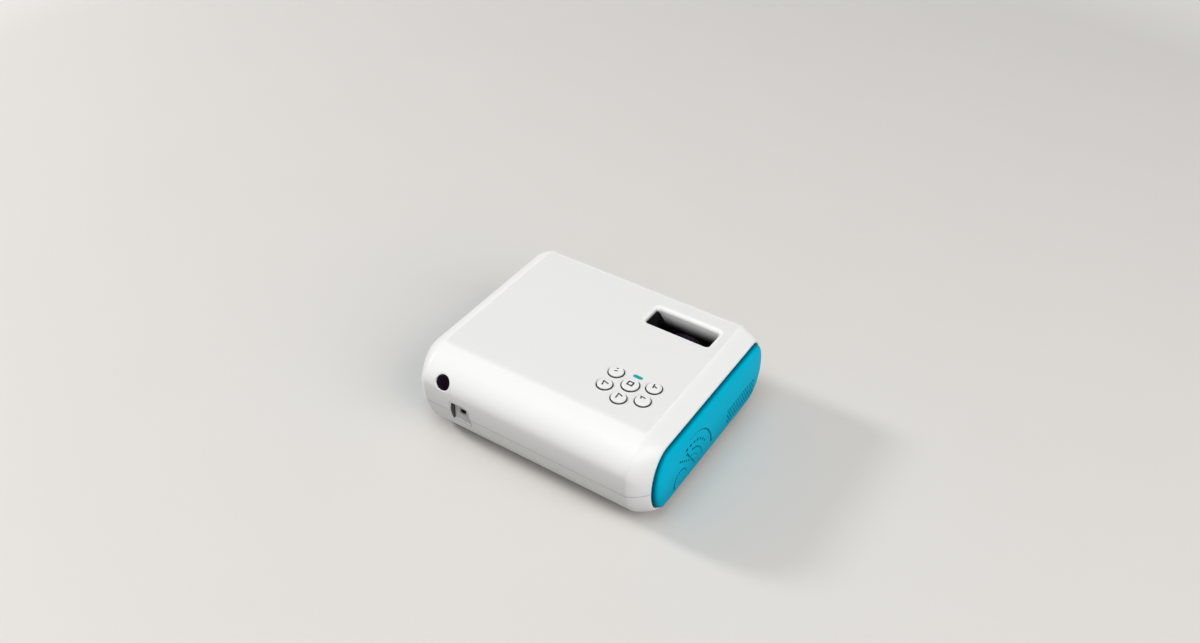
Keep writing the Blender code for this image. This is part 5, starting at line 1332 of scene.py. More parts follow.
@dataclass
class EndCover:
    """Blue end cover, with the swirl and the intake at one end or the exhaust at the other."""

    side: Side
    skin: Profile
    form: CaseForm = FORM
    lining: Profile = ((-0.0037, 0.0), (-0.0037, 0.0018), (0.0, 0.0018), (0.0018, 0.0024),
                       (0.0026, 0.0066))
    reach: float = 0.006
    arcs: Rows = (
        (0.03185, 0.0165, 0.0345, 90, 8, 21, 0.0009, 0.0021),
        (0.03185, 0.0165, 0.0272, 98, 32, 7, 0.0027, 0.0019),
        (0.03185, 0.0165, 0.0212, 76, 10, 8, 0.0021, 0.0013),
        (0.03185, 0.0165, 0.0157, 74, 12, 9, 0.0010, 0.0010),
        (0.03185, 0.0165, 0.0103, 60, 14, 7, 0.0009, 0.0009),
        (0.0424, 0.0205, 0.0084, 196, 12, 13, 0.0019, 0.0011))
    rows: Rows = (
        (0.0349, 0.0387, 0.0272, 0.0283, 5, 0.0023, 0.0012),
        (0.0443, 0.0390, 0.0200, 0.0222, 9, 0.0020, 0.0012))
    vent: Flat = (-0.0480, 0.0245)
    vent_counts: tuple[int, int] = (14, 6)
    vent_pitch: Flat = (0.0031, 0.0025)
    vent_hole: float = 0.0015
    slots: int = 9
    slot_pitch: float = 0.0048
    slot_size: Flat = (0.034, 0.0024)
    slot_round: float = 0.42
    slot_middle: Flat = (0.005, 0.038)

    def swirl(self) -> list[Point]:
        """Graded holes in front of the speaker.

        Returns:
            (y, z, radius) of each.
        """
        holes = []
        for y, z, radius, first, last, count, wide, narrow in self.arcs:
            for angle, size in zip(in_steps(first, last, count), in_steps(wide, narrow, count)):
                turn = math.radians(angle)
                holes.append((y - radius * math.cos(turn), z + radius * math.sin(turn), size / 2))
        for y, z, end_y, end_z, count, wide, narrow in self.rows:
            for share, size in zip(in_steps(0, 1, count), in_steps(wide, narrow, count)):
                holes.append((y + (end_y - y) * share, z + (end_z - z) * share, size / 2))
        return holes

    def intake(self) -> list[Point]:
        """Staggered block of intake holes.

        Returns:
            (y, z, radius) of each.
        """
        columns, rows = self.vent_counts
        pitch_y, pitch_z = self.vent_pitch
        return [(self.vent[0] + (column - (columns - 1) / 2 + (row % 2 - 0.5) / 2) * pitch_y,
                 self.vent[1] + (row - (rows - 1) / 2) * pitch_z, self.vent_hole / 2)
                for row in range(rows) for column in range(columns)]

    def cutters(self, ports: "Ports") -> list[Piece]:
        """Cutters of every hole in this cover.

        Args:
            ports: Sockets behind the exhaust cover.

        Returns:
            The cutters.
        """
        base = self.side.value * (self.form.rim_half + self.skin[0][0]) - self.reach / 2
        if self.side is Side.SOUND:
            return [rod(Axis.X.at((base, y, z)), radius, self.reach, 16)
                    for y, z, radius in self.swirl() + self.intake()]
        middle_y, middle_z = self.slot_middle
        length, width = self.slot_size
        slots = []
        for number in range(self.slots):
            y = middle_y + (number - (self.slots - 1) / 2) * self.slot_pitch
            outline = rounded_rectangle(length, width, width * self.slot_round, 5)
            slots.append(prism(f"slot_{number}", outline, self.reach,
                               Axis.X.at((base, y, middle_z))))
        return slots + ports.holes(base, self.reach)

    def build(self, ports: "Ports") -> None:
        """Cover with its holes.

        Args:
            ports: Sockets behind the exhaust cover.
        """
        sound = self.side is Side.SOUND
        rings = [self.form.cover.inset(depth).ring(self.side.value * (self.form.rim_half + out), 20)
                 for out, depth in self.skin + self.lining]
        cover = loft("sound_cover" if sound else "exhaust_cover", rings)
        carve(cover, gather(self.cutters(ports)))
        issue(cover, BLUE, "end_cover_left" if sound else "end_cover_right", angle=38.0)


@dataclass
class Keypad:
    """Six keys with generic marks, the mat and board under them, and the status light."""

    middle: Flat = (-0.0513, 0.02875)
    keys: tuple[tuple[str, float, float, Symbol], ...] = (("key_centre", 0.0, 0.0, Symbol.ENTER),
        ("key_front_left", -0.0154, -0.0062, Symbol.BRANCH),
        ("key_front_right", 0.0154, -0.0062, Symbol.PAIR),
        ("key_back_left", -0.0154, 0.009, Symbol.SMALL_CORNER),
        ("key_back_right", 0.0154, 0.009, Symbol.CORNER),
        ("key_rear", 0.0, 0.0155, Symbol.TALL_CORNER))
    radius: float = 0.0055
    main_radius: float = 0.0062
    roof: float = FORM.roof
    wall: float = FORM.wall
    gap: float = FORM.gap
    proud: float = 0.00175
    fall: float = 0.00025
    edge: Flat = (0.0012, 0.0009)
    around: float = 0.0008
    flange: float = 0.0011
    stem: Flat = (0.0022, 0.0012)
    light_step: float = 0.0104
    light_size: Flat = (0.007, 0.0025)
    light_flange: Point = (0.0688, 0.0696, 0.0005)
    light_edge: Profile = ((0.0003, 0.0), (0.0001, -0.0001), (0.0, -0.0003))
    light_round: float = 0.96
    key_lip: Flat = (0.0002, 0.0002)
    light_lip: Flat = (0.00015, 0.00015)
    mat_low: float = 0.0648
    mat_thick: float = 0.0006
    mat_front: float = 0.0082
    mat_back: float = 0.0183
    mat_half: float = 0.0182
    mat_corner: float = 0.002
    mat_edge: float = 0.0002
    mat_dome: Profile = ((0, 0.0011), (0.001, 0.0011), (0.0013, 0.0007), (0.002, 0.0003),
                         (0, 0.0003))
    mark_size: float = 0.375
    mark_stroke: float = 0.19

    def places(self) -> list[tuple[str, float, float, float, Symbol]]:
        """Name, x, y, radius and mark of each key."""
        return [(name, self.middle[0] + x, self.middle[1] + y,
                 self.main_radius if symbol is Symbol.ENTER else self.radius, symbol)
                for name, x, y, symbol in self.keys]

    def openings(self) -> list[Piece]:
        """Cutters of the key holes and the light's slot.

        Returns:
            The cutters.
        """
        holes = [mouth(round_outline(radius + self.around), 2 * self.wall,
                       Axis.Z.at((x, y, self.roof)), self.key_lip)
                 for _, x, y, radius, _ in self.places()]
        x, y = self.middle
        length, width = (size + 2 * self.gap for size in self.light_size)
        outline = rounded_rectangle(length, width, width / 2 * self.light_round)
        holes.append(mouth(outline, 2 * self.wall, Axis.Z.at((x, y - self.light_step, self.roof)),
                           self.light_lip))
        return holes

    def build(self) -> None:
        """Keys, marks, light and mat; the board stays as packed."""
        for place in self.places():
            self.build_key(*place)
        self.build_light()
        self.build_mat()
        dress(BOARD, "keypad_board")

    def build_key(self, name: str, x: float, y: float, radius: float, symbol: Symbol) -> None:
        """Key with a crowned top, a rounded edge, its flange and stem, and its printed mark.

        Args:
            name: Name of its node and body.
            x: Its middle.
            y: Its middle.
            radius: Its radius.
            symbol: The mark, read from the back of the case.
        """
        out, down = self.edge
        profile = [((radius - out) * share, self.proud - self.fall * share ** 2)
                   for share in in_steps(0, 1, 9)]
        for angle in in_steps(0, math.pi / 2, 8)[1:]:
            profile.append((radius - out + out * math.sin(angle),
                            self.proud - self.fall - down * (1 - math.cos(angle))))
        inside = -self.wall - self.gap
        below = inside - self.flange
        stem_radius, stem_length = self.stem
        profile += [(radius, inside), (radius + self.flange, inside),
                    (radius + self.flange, below), (stem_radius, below),
                    (stem_radius, below - stem_length), (0.0, below - stem_length)]
        place = Axis.Z.at((x, y, self.roof))
        issue(lathe(name + "_cap", profile, place), KEY, name, body=name, angle=40.0)
        half, dome = radius * self.mark_size, Dome(self.proud, radius - out, self.fall)
        strokes = [[(-u * half, -v * half) for u, v in stroke] for stroke in symbol.value]
        mark = ribbon(name + "_mark", strokes, radius * self.mark_stroke, dome, place)
        issue(mark, INK, body=name)

    def build_light(self) -> None:
        """Light bar with its flange under the roof and a rounded top edge."""
        x, y = self.middle
        length, width = self.light_size
        (low, high, brim), top = self.light_flange, self.roof + self.gap / 2
        levels = [(self.mat_low, 0.0), (low, 0.0), (low, brim), (high, brim), (high, 0.0)]
        levels += [(top - below, more) for below, more in self.light_edge]
        rings = []
        for z, more in levels:
            outline = rounded_rectangle(length + 2 * more, width + 2 * more,
                                        (width / 2 + more) * self.light_round)
            rings.append([(u, v, z) for u, v in outline])
        light = loft("light_bar", rings, place=Axis.Z.at((x, y - self.light_step, 0.0)))
        issue(light, LIGHT, "status_light", angle=60.0)

    def build_mat(self) -> None:
        """Silicone mat with rounded corners and a sprung dome under each key."""
        x, y = self.middle
        front, back = y - self.mat_front, y + self.mat_back
        outline = rounded_rectangle(2 * self.mat_half, back - front, self.mat_corner, 5)
        mat = prism("silicone_mat", outline, self.mat_thick,
                    Axis.Z.at((x, (front + back) / 2, self.mat_low)), self.mat_edge)
        domes = [lathe(name + "_dome", softened(self.mat_dome, 0.0003),
                       Axis.Z.at((key_x, key_y, self.mat_low)), 24)
                 for name, key_x, key_y, _, _ in self.places()]
        carve(mat, gather(domes), "UNION")
        issue(mat, SILICONE, "keypad_mat")


@dataclass
class InfraredEye:
    """Dark domed window for the remote, high on the back, and the little board behind it."""

    x: float = 0.0694
    rise: float = 0.0575
    radius: float = 0.0057
    tilt: float = math.radians(27.0)
    depth: float = 0.0045
    fall: float = 0.0009
    bend: float = 0.0188
    face: float = 0.88
    edge: float = 0.0003
    lip: Flat = (0.0011, 0.0008)

    def place(self) -> Matrix:
        """Matrix with its origin on the back wall and its Z outward.

        Returns:
            The placing matrix.
        """
        y, _ = FORM.on_back(self.rise)
        turn = Matrix.Rotation(self.tilt - math.pi / 2, 4, "X")
        return Matrix.Translation((self.x, y, self.rise)) @ turn

    def skin(self, _: float, v: float) -> float:
        """Height of the curved wall over the window's plane."""
        return -v * v / (2 * self.bend)

    def openings(self) -> list[Piece]:
        """Cutter of its hole, with a rounded lip."""
        return [mouth(round_outline(self.radius + FORM.gap), self.depth * 1.5,
                      self.place(), self.lip, self.skin)]

    def build(self) -> None:
        """Window with a crowned face; the board stays as packed."""
        face = self.radius * self.face
        profile = [(face * share, -self.fall * share ** 2) for share in in_steps(0, 1, 11)]
        profile += softened([(face, -self.fall), (self.radius, -self.fall * 1.5),
                             (self.radius, -self.depth), (0.0, -self.depth)], self.edge)[1:]
        issue(lathe("eye_window", profile, self.place()), INFRARED, "infrared_window", angle=40.0)
        dress(BOARD, "infrared_board")


@dataclass
class PowerInlet:
    """Square recess low on the back, with the power jack behind its floor."""

    x: float = 0.0543
    z: float = 0.035
    size: Flat = (0.0152, 0.0176)
    corner: float = 0.002
    wall: float = 0.0012
    depth: float = 0.0045
    jack_opening: Point = (0.0056, 0.0048, 0.0005)
    lip: Flat = (0.0005, 0.0005)
    form_half: float = 0.02

    def outline(self, more: float) -> list[Flat]:
        """Outline of the recess."""
        return rounded_rectangle(self.size[0] + 2 * more, self.size[1] + 2 * more,
                                 self.corner + more)

    def skin(self, _: float, v: float) -> float:
        """How far the back wall lies before its foremost plane, in the recess's own frame."""
        return FORM.on_back(self.z - v)[0] - FORM.depth / 2

    def openings(self) -> list[Piece]:
        """Cutter of the hole that the cup sits in."""
        place = Axis.Y.at((self.x, FORM.depth / 2 - 2 * self.depth, self.z))
        return [prism("inlet_hole", self.outline(self.wall + FORM.gap), 3 * self.depth, place)]

    def build(self) -> None:
        """Cup trimmed to the case, and the finish of the jack."""
        face = FORM.depth / 2
        base = face - self.depth - self.wall
        cup = prism("inlet_recess", self.outline(self.wall), 3 * self.depth,
                    Axis.Y.at((self.x, base, self.z)))
        ends = (self.x - self.form_half, self.x + self.form_half)
        form = loft("case_form", [FORM.middle.ring(x, 36) for x in ends])
        carve(cup, form, "INTERSECT")
        pocket = mouth(self.outline(0), self.depth, Axis.Y.at((self.x, face, self.z)),
                       self.lip, self.skin)
        carve(cup, pocket)
        opening = rounded_rectangle(*self.jack_opening, 3)
        carve(cup, prism("jack_way", opening, 4 * self.wall,
                                   Axis.Y.at((self.x, base - self.wall, self.z))))
        issue(cup, CUP, "inlet_cup")
        dress(BLACK, "power_jack")


@dataclass
class LensGroup:
    """Front bezel, lens mount, focus ring, sliding barrel with its glass, and the cradle."""

    x: float = -0.0495
    z: float = 0.0385
    ring_radius: float = 0.0185
    ring_back: float = -0.040
    ring_length: float = 0.018
    ring_groove: float = 0.0006
    ring_edge: float = 0.0007
    ribs: int = 24
    bore: float = 0.0158
    track: float = 0.017
    lip: float = 0.0015
    bezel_hole: Point = (-0.0911, 0.0223, 0.0218)
    bezel_ends: Flat = (-0.073, -0.0911)
    bezel_bore: Flat = (0.0152, -0.076)
    bezel_radius: float = 0.022
    bezel_mouth: float = 0.0204
    form_half: float = 0.03
    trap_steps: int = 6
    trap_first: Flat = (0.0158, -0.0768)
    trap_pitch: Flat = (0.0008, -0.0024)
    trap_step: Flat = (0.0001, -0.0018)
    clip: tuple[float, ...] = (0.0174, 0.0158, -0.0583, -0.0595, 0.0002)
    barrel_front: Profile = ((0.014, -0.030), (0.014, -0.080), (0.0127, -0.080), (0.0127, -0.0792))
    barrel_thread: tuple[Flat, Flat] = ((0.0125, -0.0788), (0.0127, -0.0784))
    barrel_inside: Profile = ((0.0127, -0.070), (0.011, -0.070), (0.011, -0.040), (0.0127, -0.040),
                              (0.0127, -0.030))
    retainer: tuple[float, ...] = (0.0123, 0.0108, -0.0741, -0.0757, 0.00025)
    retainer_slots: Point = (0.0116, -0.0765, -0.0751)
    retainer_slot: Flat = (0.0012, 0.0005)
    pin: Profile = ((0.0, 0.0023), (0.0011, 0.0023), (0.0011, 0.0), (0.0, 0.0))
    pin_place: Flat = (-0.045, -0.0166)
    glass: tuple[tuple[str, float, float], ...] = (("front_lens", -0.0703, 0.0026),
                                                   ("rear_lens", -0.0303, 0.0022))
    glass_radius: float = 0.0107
    glass_land: float = 0.0123
    glass_edge: float = 0.0035
    glass_bevel: float = 0.0002
    tube: Profile = ((0.0155, -0.016), (0.0155, -0.0213), (0.0195, -0.0213), (0.0195, -0.0233),
                     (0.0155, -0.0233), (0.0155, -0.0377), (0.017, -0.0377), (0.017, -0.0397),
                     (0.0155, -0.0397), (0.0155, -0.072), (0.0143, -0.072), (0.0143, -0.016))
    pin_slot: tuple[Point, Point] = ((-0.0014, -0.0524, -0.0175), (0.0014, -0.0436, -0.0135))

    def axis(self) -> Matrix:
        """Matrix of the lens axis, with local Z along world Y."""
        return Axis.Y.at((self.x, 0.0, self.z))

    def openings(self) -> list[Piece]:
        """Cutter of the hole that the bezel sits in."""
        front, radius, length = self.bezel_hole
        return [rod(Axis.Y.at((self.x, front, self.z)), radius, length, 96)]

    def build(self) -> None:
        """Every turned piece of the group; the cradle stays as packed."""
        self.build_bezel()
        self.build_ring()
        self.build_barrel()
        self.build_glass()
        self.build_mount()
        dress(BLACK, "lens_cradle")

    def build_bezel(self) -> None:
        """Funnel with light-trap steps, trimmed to the case's front."""
        back, front = self.bezel_ends
        funnel = [(self.bezel_bore[0], back), self.bezel_bore]
        for step in range(self.trap_steps):
            radius, level = (first + step * pitch
                             for first, pitch in zip(self.trap_first, self.trap_pitch))
            funnel += [(radius, level), (radius + self.trap_step[0], level + self.trap_step[1])]
        funnel += [(self.bezel_mouth, front), (self.bezel_radius, front), (self.bezel_radius, back)]
        bezel = lathe("lens_bezel", funnel, self.axis(), 96)
        ends = (self.x - self.form_half, self.x + self.form_half)
        form = loft("case_form", [FORM.middle.ring(x, 48) for x in ends])
        carve(bezel, form, "INTERSECT")
        issue(bezel, BLACK, "front_bezel")

    def ring_circle(self, y: float, radius: float, ribbed: bool) -> list[Point]:
        """Circle about the lens axis, with or without the grip's ribs.

        Args:
            y: Its place along the axis.
            radius: Its radius.
            ribbed: It dips between the ribs.

        Returns:
            Its points.
        """
        points = []
        for u, v in round_outline(1.0, self.ribs * 10):
            dip = max(0.0, math.cos(self.ribs * math.atan2(v, u))) ** 3 * self.ring_groove
            reach = radius - dip if ribbed else radius
            points.append((reach * u, reach * v, y))
        return points

    def build_ring(self) -> None:
        """Ribbed focus ring with rounded ribs and an inner track, and the clip that holds it."""
        end, edge = self.ring_back, self.ring_edge
        start = end - self.ring_length
        outside = [(start, -edge), (start + edge * 0.3, -edge * 0.3), (start + edge, 0.0),
                   (end - edge, 0.0), (end - edge * 0.3, -edge * 0.3), (end, -edge)]
        inside = [(end, self.bore), (end - self.lip, self.bore), (end - self.lip, self.track),
                  (start + self.lip, self.track), (start + self.lip, self.bore), (start, self.bore)]
        rings = [self.ring_circle(y, self.ring_radius + less, True) for y, less in outside]
        rings += [self.ring_circle(y, radius, False) for y, radius in inside]
        ring = loft("focus_grip", rings, closed=True, place=self.axis())
        issue(ring, RING_BLACK, "focus_ring", body="focus")
        issue(lathe("circlip", band(*self.clip), self.axis()), STEEL, "ring_clip")

    def build_barrel(self) -> None:
        """Barrel with a threaded mouth, the ring that holds the glass, and the guide pin."""
        barrel = softened(self.barrel_front, 0.0003) + thread(8, 0.001, *self.barrel_thread)
        barrel += self.barrel_inside
        issue(lathe("focus_barrel", barrel, self.axis()), BLACK, "lens_barrel", body="lens")
        ring = lathe("thread_ring", band(*self.retainer), self.axis())
        out, front, back = self.retainer_slots
        wide, high = self.retainer_slot
        slots = [box((self.x + side * out - wide, front, self.z - high),
                     (self.x + side * out + wide, back, self.z + high)) for side in (-1, 1)]
        carve(ring, gather(slots))
        issue(ring, RING_BLACK, "lens_retainer", body="lens")
        y, drop = self.pin_place
        pin = lathe("guide_pin", softened(self.pin, 0.0003), Axis.Z.at((self.x, y, self.z + drop)),
                    32)
        issue(pin, STEEL, "follower_pin", body="lens")

    def build_glass(self) -> None:
        """Front and rear lens, each crowned on both faces with a ground edge."""
        land, edge, bevel = self.glass_land, self.glass_edge, self.glass_bevel
        for name, level, bulge in self.glass:
            crowned = lens_crown(self.glass_radius, bulge)
            profile = [(out, level + height) for out, height in crowned]
            profile += [(land - bevel, level), (land, level - bevel), (land, level - edge + bevel),
                        (land - bevel, level - edge)]
            profile += [(out, level - edge - height) for out, height in reversed(crowned)]
            lens = lathe(name + "_glass", profile, self.axis())
            issue(lens, LENS_GLASS, name, body="lens", angle=25.0)

    def build_mount(self) -> None:
        """Fixed tube with a flange, a shoulder and the slot that the pin slides in."""
        mount = lathe("lens_tube", softened(self.tube, 0.0002, 2, closed=True), self.axis())
        corners = [(self.x + x, y, self.z + z) for x, y, z in self.pin_slot]
        carve(mount, box(*corners))
        issue(mount, BLACK, "lens_mount")


@dataclass
class Ports:
    """Sockets at the hidden end: picture, data and sound, as (middle y, width, height)."""

    face: float = 0.1003
    length: float = 0.016
    mouth: float = 0.009
    wall: float = 0.0004
    board_top: float = 0.0295
    around: float = 0.0003
    corner: float = 0.0009
    bend: float = 0.0006
    hole_corner: float = 0.001
    tongue_reach: float = 0.86
    contact_span: float = 0.6
    jack_bore: Flat = (0.0018, 0.02)
    picture: Point = (0.0381, 0.0152, 0.0062)
    data: Point = (0.0533, 0.0131, 0.0068)
    sound: Point = (0.0641, 0.006, 0.006)
    collar: tuple[float, ...] = (0.0027, 0.0018, -0.0002, 0.0003, 0.00015)

    def holes(self, base: float, reach: float) -> list[Piece]:
        """Cutters of the holes in the cover.

        Args:
            base: X where they start.
            reach: Their length.

        Returns:
            The cutters.
        """
        made = []
        for name, (y, width, height) in (("picture", self.picture), ("data", self.data)):
            outline = rounded_rectangle(height + 2 * self.around, width + 2 * self.around,
                                        self.hole_corner, 5)
            made.append(prism(name + "_port", outline, reach,
                              Axis.X.at((base, y, self.board_top + height / 2))))
        y, width, height = self.sound
        made.append(rod(Axis.X.at((base, y, self.board_top + height / 2)),
                        width / 2 + self.around, reach, 40))
        return made

    def build(self) -> None:
        """Folded steel shells with their tongues and contacts, and the round sound jack."""
        self.build_socket("picture_socket", self.picture, 9)
        self.build_socket("data_socket", self.data, 4)
        y, width, height = self.sound
        middle = self.board_top + height / 2
        jack = prism("audio_jack", rounded_rectangle(height, width, self.corner, 4), self.length,
                     Axis.X.at((self.face - self.length, y, middle)), 0.0003)
        carve(jack, rod(Axis.X.at((self.face - self.mouth, y, middle)), *self.jack_bore, 40))
        issue(jack, BLACK, "sound_jack")
        collar = lathe("jack_collar", band(*self.collar), Axis.X.at((self.face, y, middle)), 40)
        issue(collar, STEEL)

    def build_socket(self, name: str, size: Point, contacts: int) -> None:
        """One rectangular socket.

        Args:
            name: Name of the node that it stands for.
            size: Middle y, width and height.
            contacts: How many contacts its tongue has.
        """
        y, width, height = size
        middle, back = self.board_top + height / 2, self.face - self.mouth
        outer = rounded_rectangle(height, width, self.corner, 4)
        inner = rounded_rectangle(height - 2 * self.wall, width - 2 * self.wall, self.bend, 4)
        shell = prism(name + "_can", outer, self.length,
                      Axis.X.at((self.face - self.length, y, middle)), self.wall / 2)
        carve(shell, prism("mouth", inner, 2 * self.mouth, Axis.X.at((back, y, middle))))
        issue(shell, STEEL, name)
        tongue = rounded_rectangle(height / 4, width * 2 / 3, self.wall, 3)
        block = prism(name + "_tongue", tongue, self.mouth * self.tongue_reach,
                      Axis.X.at((back - self.wall / 2, y, middle)), self.wall / 2)
        issue(block, BLACK)
        pitch = width * self.contact_span / contacts
        strips = []
        for number in range(contacts):
            side = y + (number - (contacts - 1) / 2) * pitch
            strips.append(box((back, side - pitch / 4, middle + height / 8 - self.wall / 4),
                              (back + self.mouth * 0.75, side + pitch / 4,
                               middle + height / 8 + self.wall / 5)))
        issue(gather(strips, name + "_contacts"), BRASS)


@dataclass
class Speaker:
    """Speaker behind the swirl, and the foam behind the intake."""

    face: float = -0.1003
    y: float = 0.024
    z: float = 0.0367
    foam_inset: float = 0.0072
    gasket: tuple[float, ...] = (0.0172, 0.015, 0.001, 0.0, 0.0003)
    basket: Profile = (
        (0.0063, 0.0135), (0.011, 0.0135), (0.012, 0.0125), (0.016, 0.0025), (0.0172, 0.0025),
        (0.0172, 0.0013), (0.015, 0.0013), (0.011, 0.0115), (0.0063, 0.0115))
    magnet: Profile = ((0.0, 0.0208), (0.011, 0.0208), (0.011, 0.0138), (0.0, 0.0138))
    cone_back: Profile = ((0.0, 0.0085), (0.006, 0.0085), (0.0122, 0.0025), (0.0142, 0.0025),
                          (0.0142, 0.0019))
    cone_roll: tuple[Flat, Flat] = ((0.0132, 0.0019), (0.001, 0.0007))
    cone_face: Profile = ((0.0122, 0.0019), (0.0058, 0.0079))
    cap_dish: float = 0.0016

    def build(self) -> None:
        """Gasket, basket, cone with its roll and cap, magnet and foam."""
        axis = Axis.X.at((self.face, self.y, self.z))
        ring = issue(lathe("foam_ring", band(*self.gasket), axis), FOAM, "speaker_gasket")
        basket = softened(self.basket, 0.0003, 2, closed=True)
        issue(lathe("speaker_frame", basket, axis), STEEL, "speaker_basket")
        issue(lathe("speaker_paper", self.cone(), axis), CONE, "speaker_cone", angle=50.0)
        magnet = lathe("ferrite_magnet", softened(self.magnet, 0.0006), axis)
        issue(magnet, STEEL, "speaker_magnet")
        self.build_foam()

    def cone(self) -> list[Flat]:
        """Profile of the cone, with a half roll at its edge and a dished cap.

        Returns:
            (radius, height) points, with height growing away from the grille.
        """
        (middle, level), (wide, high) = self.cone_roll
        cap, rise = self.cone_face[-1]
        profile = [*self.cone_back]
        profile += [(middle + wide * math.cos(angle), level - high * math.sin(angle))
                    for angle in in_steps(0, math.pi, 9)[1:-1]]
        profile += self.cone_face
        profile += [(cap * share, rise - self.cap_dish * (1 - share ** 2))
                    for share in in_steps(1, 0, 7)[1:]]
        return profile

    def build_foam(self) -> None:
        """Swollen sheet of open-celled foam behind the intake holes."""
        low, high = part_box("intake_filter")
        middle = [(low[axis] + high[axis]) / 2 for axis in range(3)]
        thick, width, rise = (high[axis] - low[axis] for axis in range(3))
        rings = []
        for side in (-1, 1):
            for share in in_steps(0.06, 1, 9) if side < 0 else in_steps(1, 0.06, 9):
                swell = 0.34 + 0.16 * (1 - share ** 4)
                rings.append([(side * thick * swell, width / rise * v * share, u * share)
                              for u, v in rounded_rectangle(rise, rise, rise / 8)])
        foam = loft("filter_sheet", rings, place=Matrix.Translation(middle))
        inside = FORM.cover.inset(self.foam_inset)
        form = loft("cover_form", [inside.ring(x) for x in (middle[0] - thick, middle[0] + thick)])
        carve(foam, form, "INTERSECT")
        issue(foam, FOAM, "intake_filter", angle=80.0)


@dataclass
class Cooling:
    """Heat sink, fan frame and the fan's rotor."""

    low: float = 0.0741
    y: float = 0.005
    z: float = 0.0385
    hub: float = 0.0092
    hub_long: float = 0.0096
    tip: float = 0.0225
    blades: int = 7
    pitch: Flat = (50.0, 20.0)
    chord: Flat = (0.004, 0.0026)
    camber: float = 0.0011
    section: Profile = ((-1, 0), (-0.5, 0.42), (0, 0.55), (0.5, 0.42), (1, 0), (0.5, -0.25),
                        (0, -0.12), (-0.5, -0.25))

    def build(self) -> None:
        """Rotor with cambered blades; the rest stays as packed."""
        profile = softened([(0.0, self.hub_long), (self.hub, self.hub_long), (self.hub, 0.0),
                            (0.0, 0.0)], 0.0012, 5)
        rotor = lathe("rotor", profile, Axis.X.at((self.low, self.y, self.z)))
        blades = [self.blade(number) for number in range(self.blades)]
        carve(rotor, gather(blades), "UNION")
        issue(rotor, BLACK, "fan_rotor", body="fan")
        dress(BLACK, "fan_frame")
        dress(ALUMINIUM, "heat_sink", "chip_cooler", "light_board")

    def blade(self, number: int) -> Piece:
        """One twisted, cambered blade, rooted in the hub.

        Args:
            number: Its number round the hub.

        Returns:
            The blade.
        """
        rings = []
        for share in in_steps(0, 1, 8):
            radius = self.hub * 0.7 + (self.tip - self.hub * 0.7) * share
            pitch = math.radians(self.pitch[0] - self.pitch[1] * share)
            half = self.chord[0] + self.chord[1] * share
            along = Vector((math.sin(pitch), math.cos(pitch)))
            across = Vector((along.y, -along.x)) * self.camber
            section = []
            for u, v in self.section:
                point = along * half * u + across * v
                turn = point.y / radius
                section.append((point.x, radius * math.sin(turn), radius * math.cos(turn)))
            rings.append(section)
        place = Matrix.Translation((self.low + self.hub_long / 2, self.y, self.z))
        place @= Matrix.Rotation(2 * math.pi * number / self.blades, 4, "X")
        return loft(f"blade_{number}", rings, place=place)


@dataclass
class Engine:
    """Optical engine between the lens and the heat sink, and the main board."""

    boxes: tuple[str, ...] = ("engine_tray", "engine_lid", "condenser_holder")
    plates: tuple[str, ...] = ("ridged_lens_front", "ridged_lens_rear", "heat_glass",
                               "condenser_lens")

    def dress(self) -> None:
        """Finishes of everything that stays as packed."""
        dress(BLACK, *self.boxes)
        dress(PLATE_GLASS, *self.plates)
        dress(MIRROR, "fold_mirror")
        dress(RING_BLACK, "picture_panel")
        dress(BOARD, "main_board")


